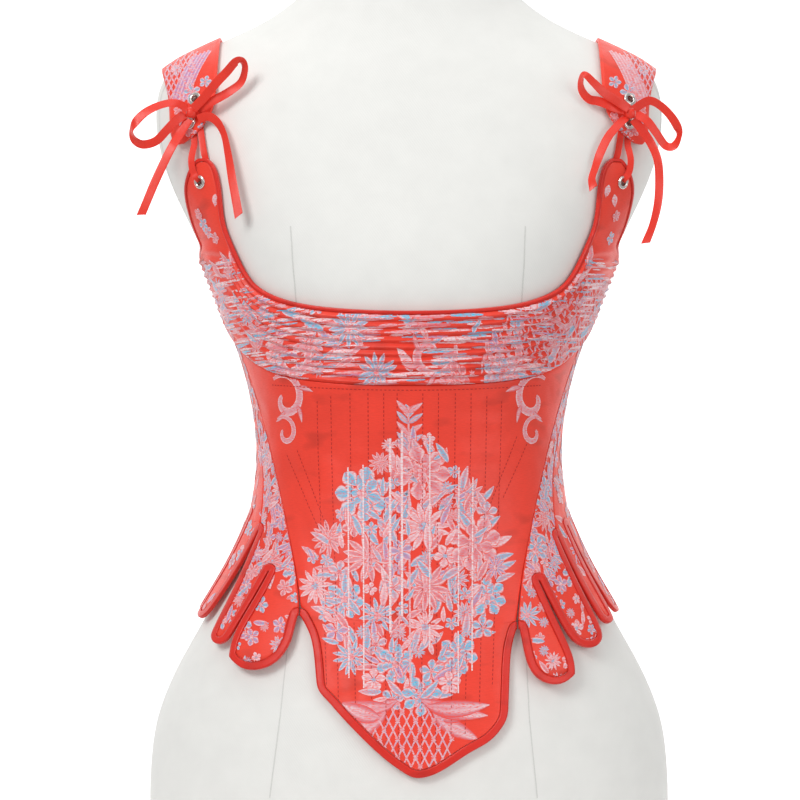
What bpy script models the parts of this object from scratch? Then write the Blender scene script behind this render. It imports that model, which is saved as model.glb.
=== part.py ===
"""Corset top on a limbless dress form, in metres, +Z up, front towards -Y.

The form is a loft through the sections of FORM_SECTIONS. Every piece of the garment is a thin wall
that stands a given lift outside the form's surface. A place on that surface is a turn (degrees from
the centre front, positive towards +X) and a height. Side "L" is at -X.
"""

import bpy
import bmesh
import math
from mathutils import Matrix, Vector

# Body: the form's sections. half_width is along X, front and back are depths from the section's middle.
FORM_MIDDLE_Y = -0.0105
FORM_SECTIONS = (
    # height, half_width, front, back, squareness
    (0.000, 0.1850, 0.112, 0.128, 2.10),
    (0.035, 0.1895, 0.114, 0.132, 2.10),
    (0.075, 0.1920, 0.116, 0.136, 2.10),
    (0.118, 0.1895, 0.115, 0.136, 2.10),
    (0.143, 0.1840, 0.112, 0.133, 2.10),
    (0.173, 0.1710, 0.107, 0.126, 2.10),
    (0.198, 0.1560, 0.103, 0.118, 2.10),
    (0.235, 0.1360, 0.098, 0.107, 2.10),
    (0.265, 0.1220, 0.095, 0.098, 2.10),
    (0.294, 0.1120, 0.092, 0.091, 2.10),
    (0.323, 0.1085, 0.091, 0.088, 2.10),
    (0.345, 0.1095, 0.093, 0.089, 2.10),
    (0.368, 0.1130, 0.097, 0.091, 2.10),
    (0.400, 0.1210, 0.106, 0.096, 2.10),
    (0.430, 0.1330, 0.114, 0.101, 2.10),
    (0.450, 0.1410, 0.117, 0.104, 2.15),
    (0.472, 0.1500, 0.115, 0.106, 2.20),
    (0.497, 0.1620, 0.108, 0.106, 2.30),
    (0.520, 0.1735, 0.101, 0.104, 2.40),
    (0.545, 0.1830, 0.094, 0.101, 2.50),
    (0.572, 0.1875, 0.086, 0.096, 2.50),
    (0.594, 0.1855, 0.079, 0.090, 2.30),
    (0.609, 0.1785, 0.074, 0.085, 2.00),
    (0.621, 0.1580, 0.070, 0.080, 1.80),
    (0.632, 0.1340, 0.066, 0.075, 1.80),
    (0.643, 0.1080, 0.063, 0.071, 1.90),
    (0.658, 0.0860, 0.060, 0.067, 2.00),
    (0.675, 0.0690, 0.057, 0.063, 2.00),
    (0.692, 0.0570, 0.055, 0.060, 2.00),
    (0.710, 0.0530, 0.054, 0.058, 2.00),
    (0.735, 0.0520, 0.053, 0.057, 2.00),
)
FORM_SIDES = 32
FORM_CURVED = (0.235, 0.450)

# Cloth: thickness of a panel, its clearance off the form and the gap left at a seam.
CLOTH = 0.0022
CLEAR = 0.0010
SEAM_GAP = 0.0004
BAND_CLOTH = 0.0026
CORD_RISE = 0.0013
CORD_ROWS = 10
CHANNEL_RISE = 0.0006
CHANNELS = 10

# Binding: width shown on the hem and on the upper edges, and how far it stands above a panel.
HEM_BINDING = 0.0055
EDGE_BINDING = 0.0022
STRAP_FOOT_CLEAR = 0.0012
BINDING_PROUD = 0.0005
BINDING_GAP = 0.0003
SLIT_HALF = 0.0008
REACH = HEM_BINDING + BINDING_GAP
NOTCH = REACH + SLIT_HALF
ARCH_DROP = NOTCH * 0.80
ARCH_SHARES = (0.0, 0.12, 0.42, 1.0)

# The band's lower and upper edges from the centre front to the side seam.
BAND_EDGES = (
    # lower_turn, lower_height, upper_turn, upper_height
    (0.0, 0.3790, 0.0, 0.4275),
    (14.0, 0.3790, 13.0, 0.4282),
    (27.0, 0.3805, 25.5, 0.4303),
    (39.0, 0.3830, 35.5, 0.4340),
    (48.5, 0.3860, 43.3, 0.4393),
    (56.0, 0.3895, 49.3, 0.4460),
    (63.0, 0.3940, 52.8, 0.4565),
    (69.0, 0.3990, 54.0, 0.4760),
    (78.0, 0.4080, 62.5, 0.4790),
    (85.0, 0.4165, 71.0, 0.4800),
    (89.5, 0.4225, 80.0, 0.4725),
    (94.0, 0.4285, 94.0, 0.4695),
)
BAND_TAB_ROWS = (7, 9)
BAND_COLUMNS_BETWEEN = (2, 1, 1, 1, 1, 1, 1, 2, 2, 1, 2)
BAND_GAP = 0.0005
SIDE_SEAM_TOP_TURN = 94.0

# The tab on the band that the strap ties to: half-widths as X on the front.
STRAP_TAB = (
    # height, inner_x, outer_x
    (0.492, 0.1325, 0.1520),
    (0.508, 0.1340, 0.1560),
    (0.519, 0.1352, 0.1575),
    (0.528, 0.1370, 0.1550),
    (0.534, 0.1395, 0.1515),
    (0.537, 0.1430, 0.1485),
)

# The seam between the centre front and the side, from the band down to the hem.
FRONT_SEAM = (
    # height, turn
    (0.196, 25.5),
    (0.210, 28.7),
    (0.240, 34.6),
    (0.260, 40.0),
    (0.290, 50.0),
    (0.321, 59.5),
    (0.352, 67.0),
    (0.384, 73.5),
    (0.410, 77.5),
)
FRONT_ROW_HEIGHTS = (0.385, 0.360, 0.335, 0.310, 0.287, 0.267)

# The front point's shown outline below the seam, on each side, and along the hem.
POINT_SIDE = (
    # height, left_x, right_x
    (0.2140, 0.0718, 0.0728),
    (0.1925, 0.0672, 0.0710),
    (0.1645, 0.0648, 0.0697),
    (0.1400, 0.0625, 0.0688),
)
POINT_HEM = (
    # share of the width from left to right, height
    (0.000, 0.1600),
    (0.045, 0.1526),
    (0.226, 0.1295),
    (0.436, 0.1085),
    (0.500, 0.1036),
    (0.567, 0.1052),
    (0.803, 0.1211),
    (0.960, 0.1315),
    (1.000, 0.1400),
)
SIDE_SLIT_HEIGHT = {"L": 0.2150, "R": 0.2060}

# Tabs from the front round to the back, as turns of their shown edges.
TABS = (
    # side, panel, inner and outer turn at the slit, inner and outer turn low down, tip, outer slit's height
    ("L", "side", 29.0, 48.0, 29.6, 50.0, 0.1740, 0.2450),
    ("L", "side", 48.0, 62.6, 50.6, 60.8, 0.1900, 0.2730),
    ("L", "back", 62.6, 79.0, 68.5, 84.0, 0.2050, 0.2840),
    ("L", "back", 79.0, 97.0, 86.0, 102.0, 0.2090, 0.2850),
    ("L", "back", 97.0, 122.0, 103.5, 124.0, 0.2090, 0.2850),
    ("L", "back", 122.0, 149.0, 125.5, 149.5, 0.2070, 0.2850),
    ("L", "back", 149.0, 180.0, 151.0, 180.0, 0.2050, 0.2850),
    ("R", "side", 28.2, 41.7, 27.4, 42.2, 0.1650, 0.2390),
    ("R", "side", 41.7, 59.5, 42.9, 59.0, 0.1880, 0.2690),
    ("R", "back", 59.5, 71.0, 60.6, 71.0, 0.2030, 0.2760),
    ("R", "back", 71.0, 88.0, 73.0, 87.0, 0.2090, 0.2820),
    ("R", "back", 88.0, 117.0, 90.0, 117.0, 0.2090, 0.2850),
    ("R", "back", 117.0, 148.0, 118.5, 148.5, 0.2070, 0.2850),
    ("R", "back", 148.0, 180.0, 150.0, 180.0, 0.2050, 0.2850),
)
TAB_FLARE = 0.0050
TAB_SHOULDER_SHARE = 0.9
TAB_SHOULDER_MOST = 0.016
TAB_ROUNDNESS = 0.8
CENTRE_BACK_TURN = 179.9
FLARE_START = 0.235
POINT_FLARE = 0.0010

# The back's upper edge from the side seam to the centre back. The strap sits between the marked turns.
BACK_TOP = (
    # turn, height
    (94.0, 0.4695),
    (101.0, 0.4740),
    (108.0, 0.4880),
    (115.5, 0.5160),
    (119.8, 0.5250),
    (145.6, 0.5250),
    (150.0, 0.5165),
    (162.0, 0.5070),
    (180.0, 0.5040),
)
STRAP_FOOT_COLUMNS = (6, 12)
STRAP_FOOT_TURNS = (119.8, 145.6)
SIDE_SEAM = (
    # height, turn (L), turn (R)
    (0.2790, 62.6, 59.5),
    (0.3200, 70.0, 68.0),
    (0.3700, 81.0, 80.0),
    (0.4285, 94.0, 94.0),
)
SIDE_ROWS_BACK = (0.406, 0.383, 0.360, 0.338, 0.317, 0.297)
BACK_ROWS_ABOVE = (0.449, 0.4285)

# The strap's shown sides as X, by its turn about the shoulder: 0 faces front, 90 up, 180 back.
STRAP_PIVOT_HEIGHT = 0.545
STRAP_SECTIONS = (
    # turn, inner_x, outer_x, lift
    (5.5, 0.1590, 0.1635, 0.0030),
    (10.0, 0.1515, 0.1665, 0.0026),
    (16.0, 0.1440, 0.1685, 0.0022),
    (24.0, 0.1385, 0.1695, 0.0016),
    (38.0, 0.1370, 0.1705, 0.0014),
    (54.0, 0.1365, 0.1735, 0.0014),
    (72.0, 0.1365, 0.1775, 0.0014),
    (90.0, 0.1370, 0.1785, 0.0014),
    (108.0, 0.1350, 0.1765, 0.0014),
    (126.0, 0.1300, 0.1715, 0.0014),
    (146.0, 0.1220, 0.1640, 0.0014),
    (164.0, 0.1150, 0.1605, 0.0012),
    (183.0, 0.1105, 0.1570, 0.0009),
)
STRAP_ACROSS = 5
STRAP_END_TURNS = (5.5, 8.0, 11.0, 16.0, 22.0)
STRAP_ROW_STEP = 7.5
STRAP_CLOTH = 0.0022

# Eyelets: a rolled flange with a barrel down through the cloth.
EYELET_OUTER = 0.0050
EYELET_BORE = 0.0023
EYELET_HOLE = 0.0031
EYELET_RISE = 0.0010
EYELET_SEGMENTS = 8
EYELETS = (
    # name, side, x, height, on
    ("tab", "L", 0.1470, 0.5235, "band"),
    ("strap_low", "L", 0.1545, 0.5650, "strap"),
    ("strap_high", "L", 0.1515, 0.5815, "strap"),
    ("tab", "R", 0.1500, 0.5235, "band"),
    ("strap_low", "R", 0.1545, 0.5650, "strap"),
    ("strap_high", "R", 0.1560, 0.5815, "strap"),
)

# Ribbons: 6.35 mm satin. Each route is x, y, height and the tilt of its face from facing front.
RIBBON_WIDTH = 0.00635
RIBBON_THICK = 0.0009
RIBBON_STEPS = 3
RIBBONS = {
    "bow_loop_out_L": (
        (-0.1576, -0.0826, 0.5749, 20.0), (-0.1660, -0.0875, 0.5782, 30.0),
        (-0.1760, -0.0900, 0.5765, 30.0), (-0.1860, -0.0920, 0.5715, 20.0),
        (-0.1930, -0.0925, 0.5650, 15.0), (-0.1968, -0.0900, 0.5585, 60.0),
        (-0.1950, -0.0865, 0.5520, 35.0), (-0.1890, -0.0840, 0.5490, 20.0),
        (-0.1800, -0.0835, 0.5515, 20.0), (-0.1725, -0.0835, 0.5590, 20.0),
        (-0.1655, -0.0825, 0.5665, 15.0), (-0.1598, -0.0804, 0.5711, 15.0),
    ),
    "bow_loop_in_L": (
        (-0.1536, -0.0845, 0.5742, 4.0), (-0.1450, -0.0889, 0.5824, 4.0),
        (-0.1370, -0.0925, 0.5914, 10.0), (-0.1290, -0.0937, 0.5996, 20.0),
        (-0.1225, -0.0958, 0.6065, 34.0), (-0.1180, -0.0915, 0.6070, 50.0),
        (-0.1165, -0.0880, 0.6022, 44.0), (-0.1195, -0.0857, 0.5930, 30.0),
        (-0.1275, -0.0860, 0.5865, 16.0), (-0.1370, -0.0870, 0.5809, 6.0),
        (-0.1455, -0.0850, 0.5765, 0.0), (-0.1512, -0.0806, 0.5735, -10.0),
    ),
    "bow_tail_out_L": (
        (-0.1567, -0.0789, 0.5676, 10.0), (-0.1630, -0.0810, 0.5570, 10.0),
        (-0.1680, -0.0860, 0.5480, 15.0), (-0.1745, -0.0865, 0.5350, 10.0),
        (-0.1810, -0.0860, 0.5210, 10.0), (-0.1865, -0.0850, 0.5080, 15.0),
        (-0.1905, -0.0835, 0.4990, 15.0),
    ),
    "bow_tail_in_L": (
        (-0.1503, -0.0808, 0.5673, 15.0), (-0.1430, -0.0836, 0.5690, 15.0),
        (-0.1365, -0.0860, 0.5650, 30.0), (-0.1315, -0.0895, 0.5560, 45.0),
        (-0.1280, -0.0955, 0.5410, 35.0), (-0.1250, -0.1000, 0.5240, 20.0),
        (-0.1220, -0.1035, 0.5080, 15.0), (-0.1200, -0.1050, 0.4970, 10.0),
    ),
    "bow_loop_in_R": (
        (0.1557, -0.0843, 0.5745, 12.0), (0.1460, -0.0884, 0.5802, -4.0),
        (0.1380, -0.0912, 0.5849, 8.0), (0.1300, -0.0948, 0.5920, 26.0),
        (0.1240, -0.0958, 0.5973, 40.0), (0.1215, -0.0912, 0.5938, 58.0),
        (0.1225, -0.0874, 0.5869, 40.0), (0.1275, -0.0862, 0.5811, 24.0),
        (0.1350, -0.0852, 0.5794, 2.0), (0.1440, -0.0848, 0.5759, -6.0),
        (0.1536, -0.0803, 0.5733, -18.0),
    ),
    "bow_loop_out_R": (
        (0.1598, -0.0823, 0.5742, 20.0), (0.1690, -0.0880, 0.5795, 25.0),
        (0.1765, -0.0890, 0.5770, 35.0), (0.1840, -0.0900, 0.5700, 30.0),
        (0.1895, -0.0890, 0.5620, 25.0), (0.1915, -0.0860, 0.5550, 60.0),
        (0.1880, -0.0835, 0.5480, 30.0), (0.1820, -0.0820, 0.5485, 20.0),
        (0.1755, -0.0845, 0.5570, 20.0), (0.1690, -0.0850, 0.5655, 15.0),
        (0.1618, -0.0818, 0.5708, 15.0),
    ),
    "bow_tail_in_R": (
        (0.1540, -0.0799, 0.5685, 25.0), (0.1475, -0.0840, 0.5620, 25.0),
        (0.1410, -0.0870, 0.5540, 20.0), (0.1355, -0.0900, 0.5430, 20.0),
        (0.1315, -0.0930, 0.5320, 40.0), (0.1290, -0.0950, 0.5240, 40.0),
        (0.1300, -0.0965, 0.5170, 15.0),
    ),
    "bow_tail_out_R": (
        (0.1594, -0.0794, 0.5675, 10.0), (0.1665, -0.0795, 0.5585, 15.0),
        (0.1725, -0.0805, 0.5490, 25.0), (0.1765, -0.0850, 0.5370, 30.0),
        (0.1775, -0.0850, 0.5220, 25.0), (0.1765, -0.0845, 0.5070, 30.0),
        (0.1730, -0.0835, 0.4920, 40.0), (0.1680, -0.0820, 0.4790, 30.0),
    ),
}
LACES = (
    # name, side, x at the tab, x at the strap, height at the tab, height at the strap
    ("lace_front", "L", 0.1500, 0.1530, 0.5240, 0.5640),
    ("lace_behind", "L", 0.1430, 0.1475, 0.5425, 0.5600),
    ("lace_front", "R", 0.1525, 0.1555, 0.5240, 0.5640),
    ("lace_behind", "R", 0.1480, 0.1490, 0.5425, 0.5600),
)
LACE_LIFTS = {
    # height and lift from the tab's eyelet up under the strap's end
    "lace_front_L": (
        (0.5298, 0.0058), (0.5320, 0.0066), (0.5385, 0.0072),
        (0.5440, 0.0050), (0.5490, 0.0023), (0.5540, 0.0020),
    ),
    "lace_front_R": (
        (0.5298, 0.0058), (0.5320, 0.0066), (0.5385, 0.0072),
        (0.5435, 0.0040), (0.5470, 0.0020), (0.5505, 0.0018),
    ),
    "lace_behind_L": ((0.5425, 0.0020), (0.5460, 0.0019), (0.5500, 0.0018), (0.5540, 0.0018)),
    "lace_behind_R": ((0.5425, 0.0020), (0.5460, 0.0019), (0.5500, 0.0018), (0.5540, 0.0018)),
}
LACE_WIDTH = 0.0046
KNOTS = {"L": (-0.1550, -0.0795, 0.5720), "R": (0.1572, -0.0792, 0.5715)}
KNOT_SIZE = (0.0080, 0.0090, 0.0080)
KNOT_SEGMENTS = (8, 6)

COLOURS = {
    # base colour, roughness, metallic
    "form cloth": ((0.86, 0.85, 0.80), 0.85, 0.0),
    "brocade": ((0.86, 0.07, 0.04), 0.42, 0.0),
    "satin binding": ((0.78, 0.05, 0.03), 0.38, 0.0),
    "ribbon": ((0.88, 0.06, 0.04), 0.35, 0.0),
    "eyelet metal": ((0.70, 0.68, 0.64), 0.28, 1.0),
}
SIDE_SIGN = {"L": -1.0, "R": 1.0}


def clear_scene():
    for item in list(bpy.data.objects):
        bpy.data.objects.remove(item, do_unlink=True)


def new_collection(name):
    collection = bpy.data.collections.new(name)
    bpy.context.scene.collection.children.link(collection)
    return collection


def new_material(name):
    colour, roughness, metallic = COLOURS[name]
    material = bpy.data.materials.new(name)
    material.use_nodes = True
    shader = material.node_tree.nodes["Principled BSDF"]
    shader.inputs["Base Color"].default_value = (*colour, 1.0)
    shader.inputs["Roughness"].default_value = roughness
    shader.inputs["Metallic"].default_value = metallic
    return material


def table_value(rows, column, key):
    """Smooth value of a column at a key, for a table whose first column rises."""
    keys = [row[0] for row in rows]
    values = [row[column] for row in rows]
    if key <= keys[0]:
        return values[0]
    if key >= keys[-1]:
        return values[-1]
    step = [(values[i + 1] - values[i]) / (keys[i + 1] - keys[i]) for i in range(len(keys) - 1)]
    slope = [step[0]]
    for before, after in zip(step, step[1:]):
        slope.append(0.0 if before * after <= 0 else 2 * before * after / (before + after))
    slope.append(step[-1])
    i = next(k for k in range(len(keys) - 1) if key <= keys[k + 1])
    width = keys[i + 1] - keys[i]
    t = (key - keys[i]) / width
    rise = t * t * (3 - 2 * t)
    start = t * (1 - t) ** 2
    end = t * t * (t - 1)
    return values[i] * (1 - rise) + values[i + 1] * rise + width * (start * slope[i] + end * slope[i + 1])


def smooth_step(value):
    value = min(max(value, 0.0), 1.0)
    return value * value * (3 - 2 * value)


def section(height):
    """Half-width, front depth, back depth and squareness of the form at a height."""
    return [table_value(FORM_SECTIONS, column, height) for column in (1, 2, 3, 4)]


def surface_point(turn, height):
    half_width, front, back, square = section(height)
    across = math.sin(math.radians(turn))
    ahead = math.cos(math.radians(turn))
    depth = front if ahead > 0 else back
    x = math.copysign(half_width * abs(across) ** (2 / square), across)
    y = -math.copysign(depth * abs(ahead) ** (2 / square), ahead)
    return Vector((x, y + FORM_MIDDLE_Y, height))


def insideness(point):
    """Below 1 inside the form's section at the point's height, 1 on its surface."""
    half_width, front, back, square = section(point.z)
    y = point.y - FORM_MIDDLE_Y
    depth = front if y < 0 else back
    return abs(point.x / half_width) ** square + abs(y / depth) ** square


def surface_normal(point):
    """Outward direction of the form's surface at a point on it."""
    step = 0.0005
    gradient = []
    for axis in range(3):
        ahead, behind = point.copy(), point.copy()
        ahead[axis] += step
        behind[axis] -= step
        gradient.append(insideness(ahead) - insideness(behind))
    return Vector(gradient).normalized()


def turn_of(point):
    """Turn of the surface place nearest to a point, at the point's height."""
    half_width, front, back, square = section(point.z)
    y = point.y - FORM_MIDDLE_Y
    depth = front if y < 0 else back
    across = math.copysign(abs(point.x / half_width) ** (square / 2), point.x)
    ahead = -math.copysign(abs(y / depth) ** (square / 2), y)
    turn = math.degrees(math.atan2(across, ahead))
    return turn


def front_turn(x, height):
    """Turn of the place on the front at a sideways distance."""
    half_width, _, _, square = section(height)
    share = min(abs(x) / half_width, 0.9999)
    return math.copysign(math.degrees(math.asin(share ** (square / 2))), x)


def turn_step(turn, height, distance):
    """Degrees of turn that cover a distance along the section."""
    here = surface_point(turn, height)
    there = surface_point(turn + 0.5, height)
    return 0.5 * distance / max((there - here).length, 1e-6)


def plumb_turn(turn, height, lower):
    """Turn at a lower height of the line that leaves a place square to its section."""
    here = surface_point(turn, height)
    along = (surface_point(turn + 0.5, height) - here).normalized()
    found = turn
    for _ in range(3):
        off = (surface_point(found, lower) - here).dot(along)
        slope = (surface_point(found + 0.5, lower) - surface_point(found, lower)).dot(along) / 0.5
        found -= off / slope
    return found


def lifted(turn, height, lift):
    point = surface_point(turn, height)
    return point + surface_normal(point) * lift


def mesh_object(name, points, faces, material, collection):
    """A closed body from points and faces, with its faces turned outward."""
    mesh = bpy.data.meshes.new(name)
    mesh.from_pydata([tuple(point) for point in points], [], faces)
    body = bmesh.new()
    body.from_mesh(mesh)
    bmesh.ops.recalc_face_normals(body, faces=body.faces)
    if body.calc_volume(signed=True) < 0:
        bmesh.ops.reverse_faces(body, faces=body.faces)
    body.to_mesh(mesh)
    body.free()
    mesh.materials.append(material)
    made = bpy.data.objects.new(name, mesh)
    collection.objects.link(made)
    mesh.shade_smooth()
    mesh.set_sharp_from_angle(angle=math.radians(40))
    return made


class Cloth:
    """Places on the surface joined by quads, made into a wall.

    A place is a turn, a height and an extra lift. Patches that share places share their points.
    """

    def __init__(self):
        self.places = []
        self.index = {}
        self.quads = []
        self.relief = {}

    def add(self, place):
        key = (round(place[0], 5), round(place[1], 7))
        if key not in self.index:
            self.index[key] = len(self.places)
            self.places.append(place)
        return self.index[key]

    def patch(self, rows, relief=None):
        """Quads through rows of places, with an optional raised height for each place."""
        numbers = []
        for r, row in enumerate(rows):
            numbers.append([self.add(place) for place in row])
            if relief:
                for c, number in enumerate(numbers[-1]):
                    self.relief[number] = relief[r][c]
        for upper, lower in zip(numbers, numbers[1:]):
            for c in range(len(upper) - 1):
                quad = [upper[c], upper[c + 1], lower[c + 1], lower[c]]
                kept = [n for i, n in enumerate(quad) if n != quad[i - 1]]
                if len(kept) >= 3:
                    self.quads.append(kept)

    def rim(self):
        """The outline's place numbers in order."""
        edges = {}
        for quad in self.quads:
            for i, start in enumerate(quad):
                end = quad[(i + 1) % len(quad)]
                if (end, start) in edges:
                    del edges[(end, start)]
                else:
                    edges[(start, end)] = True
        follow = {start: end for start, end in edges}
        first = min(follow)
        loop = [first]
        while follow[loop[-1]] != first:
            loop.append(follow[loop[-1]])
            if len(loop) > len(edges):
                raise ValueError("the outline does not close")
        if len(loop) != len(edges):
            raise ValueError("the wall has more than one outline")
        return loop

    def wall(self, name, material, collection, thickness=CLOTH, clear=CLEAR):
        count = len(self.places)
        outer = []
        inner = []
        for number, (turn, height, extra) in enumerate(self.places):
            raised = self.relief.get(number, 0.0)
            outer.append(lifted(turn, height, clear + extra + thickness + raised))
            inner.append(lifted(turn, height, clear + extra))
        faces = [list(quad) for quad in self.quads]
        faces += [[number + count for number in reversed(quad)] for quad in self.quads]
        loop = self.rim()
        for start, end in zip(loop, loop[1:] + loop[:1]):
            faces.append([end, start, start + count, end + count])
        return mesh_object(name, outer + inner, faces, material, collection)


def outward_move(path, number, distance, side):
    """The surface place at a distance sideways from a path's place, at right angles to the path.

    The path runs level at its two ends, so that the strip ends square to a seam.
    """
    turn, height, _ = path[number]
    before = path[number - 1] if number > 0 else (2 * turn - path[1][0], path[1][1])
    last = number == len(path) - 1
    after = (2 * turn - path[-2][0], path[-2][1]) if last else path[number + 1]
    here = surface_point(turn, height)
    back = (here - surface_point(before[0], before[1]))
    ahead = (surface_point(after[0], after[1]) - here)
    along = Vector((0.0, 0.0, 0.0))
    if back.length > 1e-7:
        along += back.normalized()
    if ahead.length > 1e-7:
        along += ahead.normalized()
    along.normalize()
    away = along.cross(surface_normal(here)) * side
    moved = here + away.normalized() * distance
    return (turn_of(moved), moved.z, path[number][2])


def binding(name, path, width, side, thickness, material, collection, clear=CLEAR):
    """A strip beside a path of places, from the seam gap out to the width."""
    points = []
    count = len(path)
    for number in range(count):
        near = outward_move(path, number, BINDING_GAP, side)
        far = outward_move(path, number, BINDING_GAP + width, side)
        if abs(far[0] - near[0]) > 90:
            far = (far[0] + math.copysign(360, near[0]), far[1], far[2])
        top = clear + thickness + BINDING_PROUD
        points.append(lifted(near[0], near[1], near[2] + clear))
        points.append(lifted(near[0], near[1], near[2] + top))
        points.append(lifted(far[0], far[1], near[2] + top))
        points.append(lifted(far[0], far[1], near[2] + clear))
    ring = 4
    faces = [list(range(ring)), [ring * (count - 1) + i for i in reversed(range(ring))]]
    for number in range(count - 1):
        for i in range(ring):
            j = (i + 1) % ring
            base = ring * number
            faces.append([base + i, base + ring + i, base + ring + j, base + j])
    return mesh_object(name, points, faces, material, collection)


def make_form(material, collection):
    """The dress form: rings through its sections, closed flat at the base and the neck."""
    heights = []
    for lower, upper in zip(FORM_SECTIONS, FORM_SECTIONS[1:]):
        heights.append(lower[0])
        if FORM_CURVED[0] <= lower[0] < FORM_CURVED[1]:
            heights.append((lower[0] + upper[0]) / 2)
    heights.append(FORM_SECTIONS[-1][0])
    points = []
    for height in heights:
        for side in range(FORM_SIDES):
            points.append(surface_point(360.0 * side / FORM_SIDES, height))
    faces = []
    for ring in range(len(heights) - 1):
        for side in range(FORM_SIDES):
            step = (side + 1) % FORM_SIDES
            base = ring * FORM_SIDES
            faces.append([base + side, base + step, base + FORM_SIDES + step, base + FORM_SIDES + side])
    last = (len(heights) - 1) * FORM_SIDES
    faces.append(list(reversed(range(FORM_SIDES))))
    faces.append([last + side for side in range(FORM_SIDES)])
    return mesh_object("dress_form", points, faces, material, collection)


def front_seam_turn(height):
    return table_value(FRONT_SEAM, 1, height)


def seam_top_turn():
    """Turn where the front seam meets the band's lower edge."""
    height = FRONT_SEAM[-1][0]
    for _ in range(8):
        height = band_lower_height(front_seam_turn(height)) - BAND_GAP
    return front_seam_turn(height)


def slit_notch(height, top):
    """How far a panel's edge stands back from a slit's middle: a quarter arch, then straight."""
    drop = top - height
    if drop <= 0:
        return SEAM_GAP / 2
    if drop >= ARCH_DROP:
        return NOTCH
    left = (ARCH_DROP - drop) / ARCH_DROP
    return max(NOTCH * math.sqrt(1 - left * left), SEAM_GAP / 2)


def band_columns():
    """The band's columns from the centre front to the side: key, then lower and upper edge places."""
    keyed = [(float(number), *row) for number, row in enumerate(BAND_EDGES)]
    keys = []
    for number, between in enumerate(BAND_COLUMNS_BETWEEN):
        keys += [number + step / between for step in range(between)]
    keys.append(float(len(BAND_EDGES) - 1))
    return [(key, *[table_value(keyed, column, key) for column in (1, 2, 3, 4)]) for key in keys]


def band_lower_height(turn):
    """Height of the band's lower edge at a turn, along the straight runs between its columns."""
    columns = band_columns()
    for near, far in zip(columns, columns[1:]):
        if abs(turn) <= far[1]:
            share = (abs(turn) - near[1]) / (far[1] - near[1])
            return near[2] + (far[2] - near[2]) * share
    return columns[-1][2]


def hem_inset(share, width):
    """Rise from the shown hem to the front panel's edge, so that the binding keeps its width."""
    step = 0.02
    rise = table_value(POINT_HEM, 1, share + step) - table_value(POINT_HEM, 1, share - step)
    return REACH * math.hypot(1.0, rise / (2 * step * width))


def first_base(side):
    """Height of a side panel's lowest row above its tabs, which the front shares at the seam."""
    return [tab for tab in TABS if tab[0] == side][0][7] + ARCH_DROP


def make_front():
    """Centre front: columns hang from the band to the pointed hem, and boning channels stand proud."""
    cloth = Cloth()
    count = 2 * CHANNELS
    slit = {side: SIDE_SLIT_HEIGHT[side] + ARCH_DROP for side in "LR"}
    low = (0.78, 0.52, 0.28, 0.12, 0.0)

    def edge(side, height):
        sign = SIDE_SIGN[side]
        column = 1 if side == "L" else 2
        turn = sign * front_seam_turn(max(height, slit[side]))
        if height < slit[side]:
            shown = front_turn(sign * table_value(sorted(POINT_SIDE), column, height), height)
            turn += (shown - turn) * smooth_step((slit[side] - height) / (2 * NOTCH))
        return turn - sign * turn_step(turn, height, slit_notch(height, slit[side]))

    def across(share, height):
        return edge("L", height) * (1 - share) + edge("R", height) * share

    def heights(side):
        top = band_lower_height(seam_top_turn())
        hem = (POINT_HEM[0][1] if side == "L" else POINT_HEM[-1][1]) + REACH
        arch_low = slit[side] - ARCH_DROP
        base = first_base(side)
        rows = [top - BAND_GAP] + list(FRONT_ROW_HEIGHTS) + [base, (base + slit[side]) / 2]
        rows += [slit[side] - ARCH_DROP * share for share in ARCH_SHARES]
        rows += [hem + (arch_low - hem) * share for share in low]
        return rows

    left, right = heights("L"), heights("R")
    slit_row = len(FRONT_ROW_HEIGHTS) + 3
    arch_row = slit_row + len(ARCH_SHARES) - 1
    hem_left = surface_point(edge("L", left[-1]), left[-1])
    hem_width = (surface_point(edge("R", right[-1]), right[-1]) - hem_left).length
    rows, relief = [], []
    for r in range(len(left)):
        row, raised = [], []
        for c in range(count + 1):
            share = c / count
            turn_top = across(share, left[0])
            top = band_lower_height(turn_top) - BAND_GAP
            hem = table_value(POINT_HEM, 1, share) + hem_inset(share, hem_width)
            level = left[r] + (right[r] - left[r]) * share
            if r <= arch_row:
                high = 1 - r / arch_row
                height = level + (top - left[0]) * high
            else:
                high = 0.0
                arch_low = left[arch_row] + (right[arch_row] - left[arch_row]) * share
                drop = (left[arch_row] - left[r]) / (left[arch_row] - left[-1])
                height = arch_low + (hem - arch_low) * drop
            if c in (0, count):
                height = level
            turn = across(share, height) + (turn_top - across(share, top)) * high
            flare = POINT_FLARE * smooth_step((FLARE_START - height) / (FLARE_START - 0.11))
            row.append((turn, height, flare))
            inside = 0 < r < len(left) - 1 and 0 < c < count
            raised.append(CHANNEL_RISE if inside and c % 2 else 0.0)
        rows.append(row)
        relief.append(raised)
    cloth.patch(rows, relief)
    return cloth, hem_of(rows, slit_row)


def hem_of(rows, start_row):
    """Places down the first column, along the last row and up the last column."""
    down = [row[0] for row in rows[start_row:-1]]
    along = list(rows[-1])
    up = [row[-1] for row in reversed(rows[start_row:-1])]
    return down + along + up


def levelled(share, columns):
    """A share across a tab that keeps the columns next to its edges level with them."""
    return min(max((share * columns - 1) / (columns - 2), 0.0), 1.0)


def tab_flare(height):
    return TAB_FLARE * smooth_step((FLARE_START + 0.03 - height) / 0.08)


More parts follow.
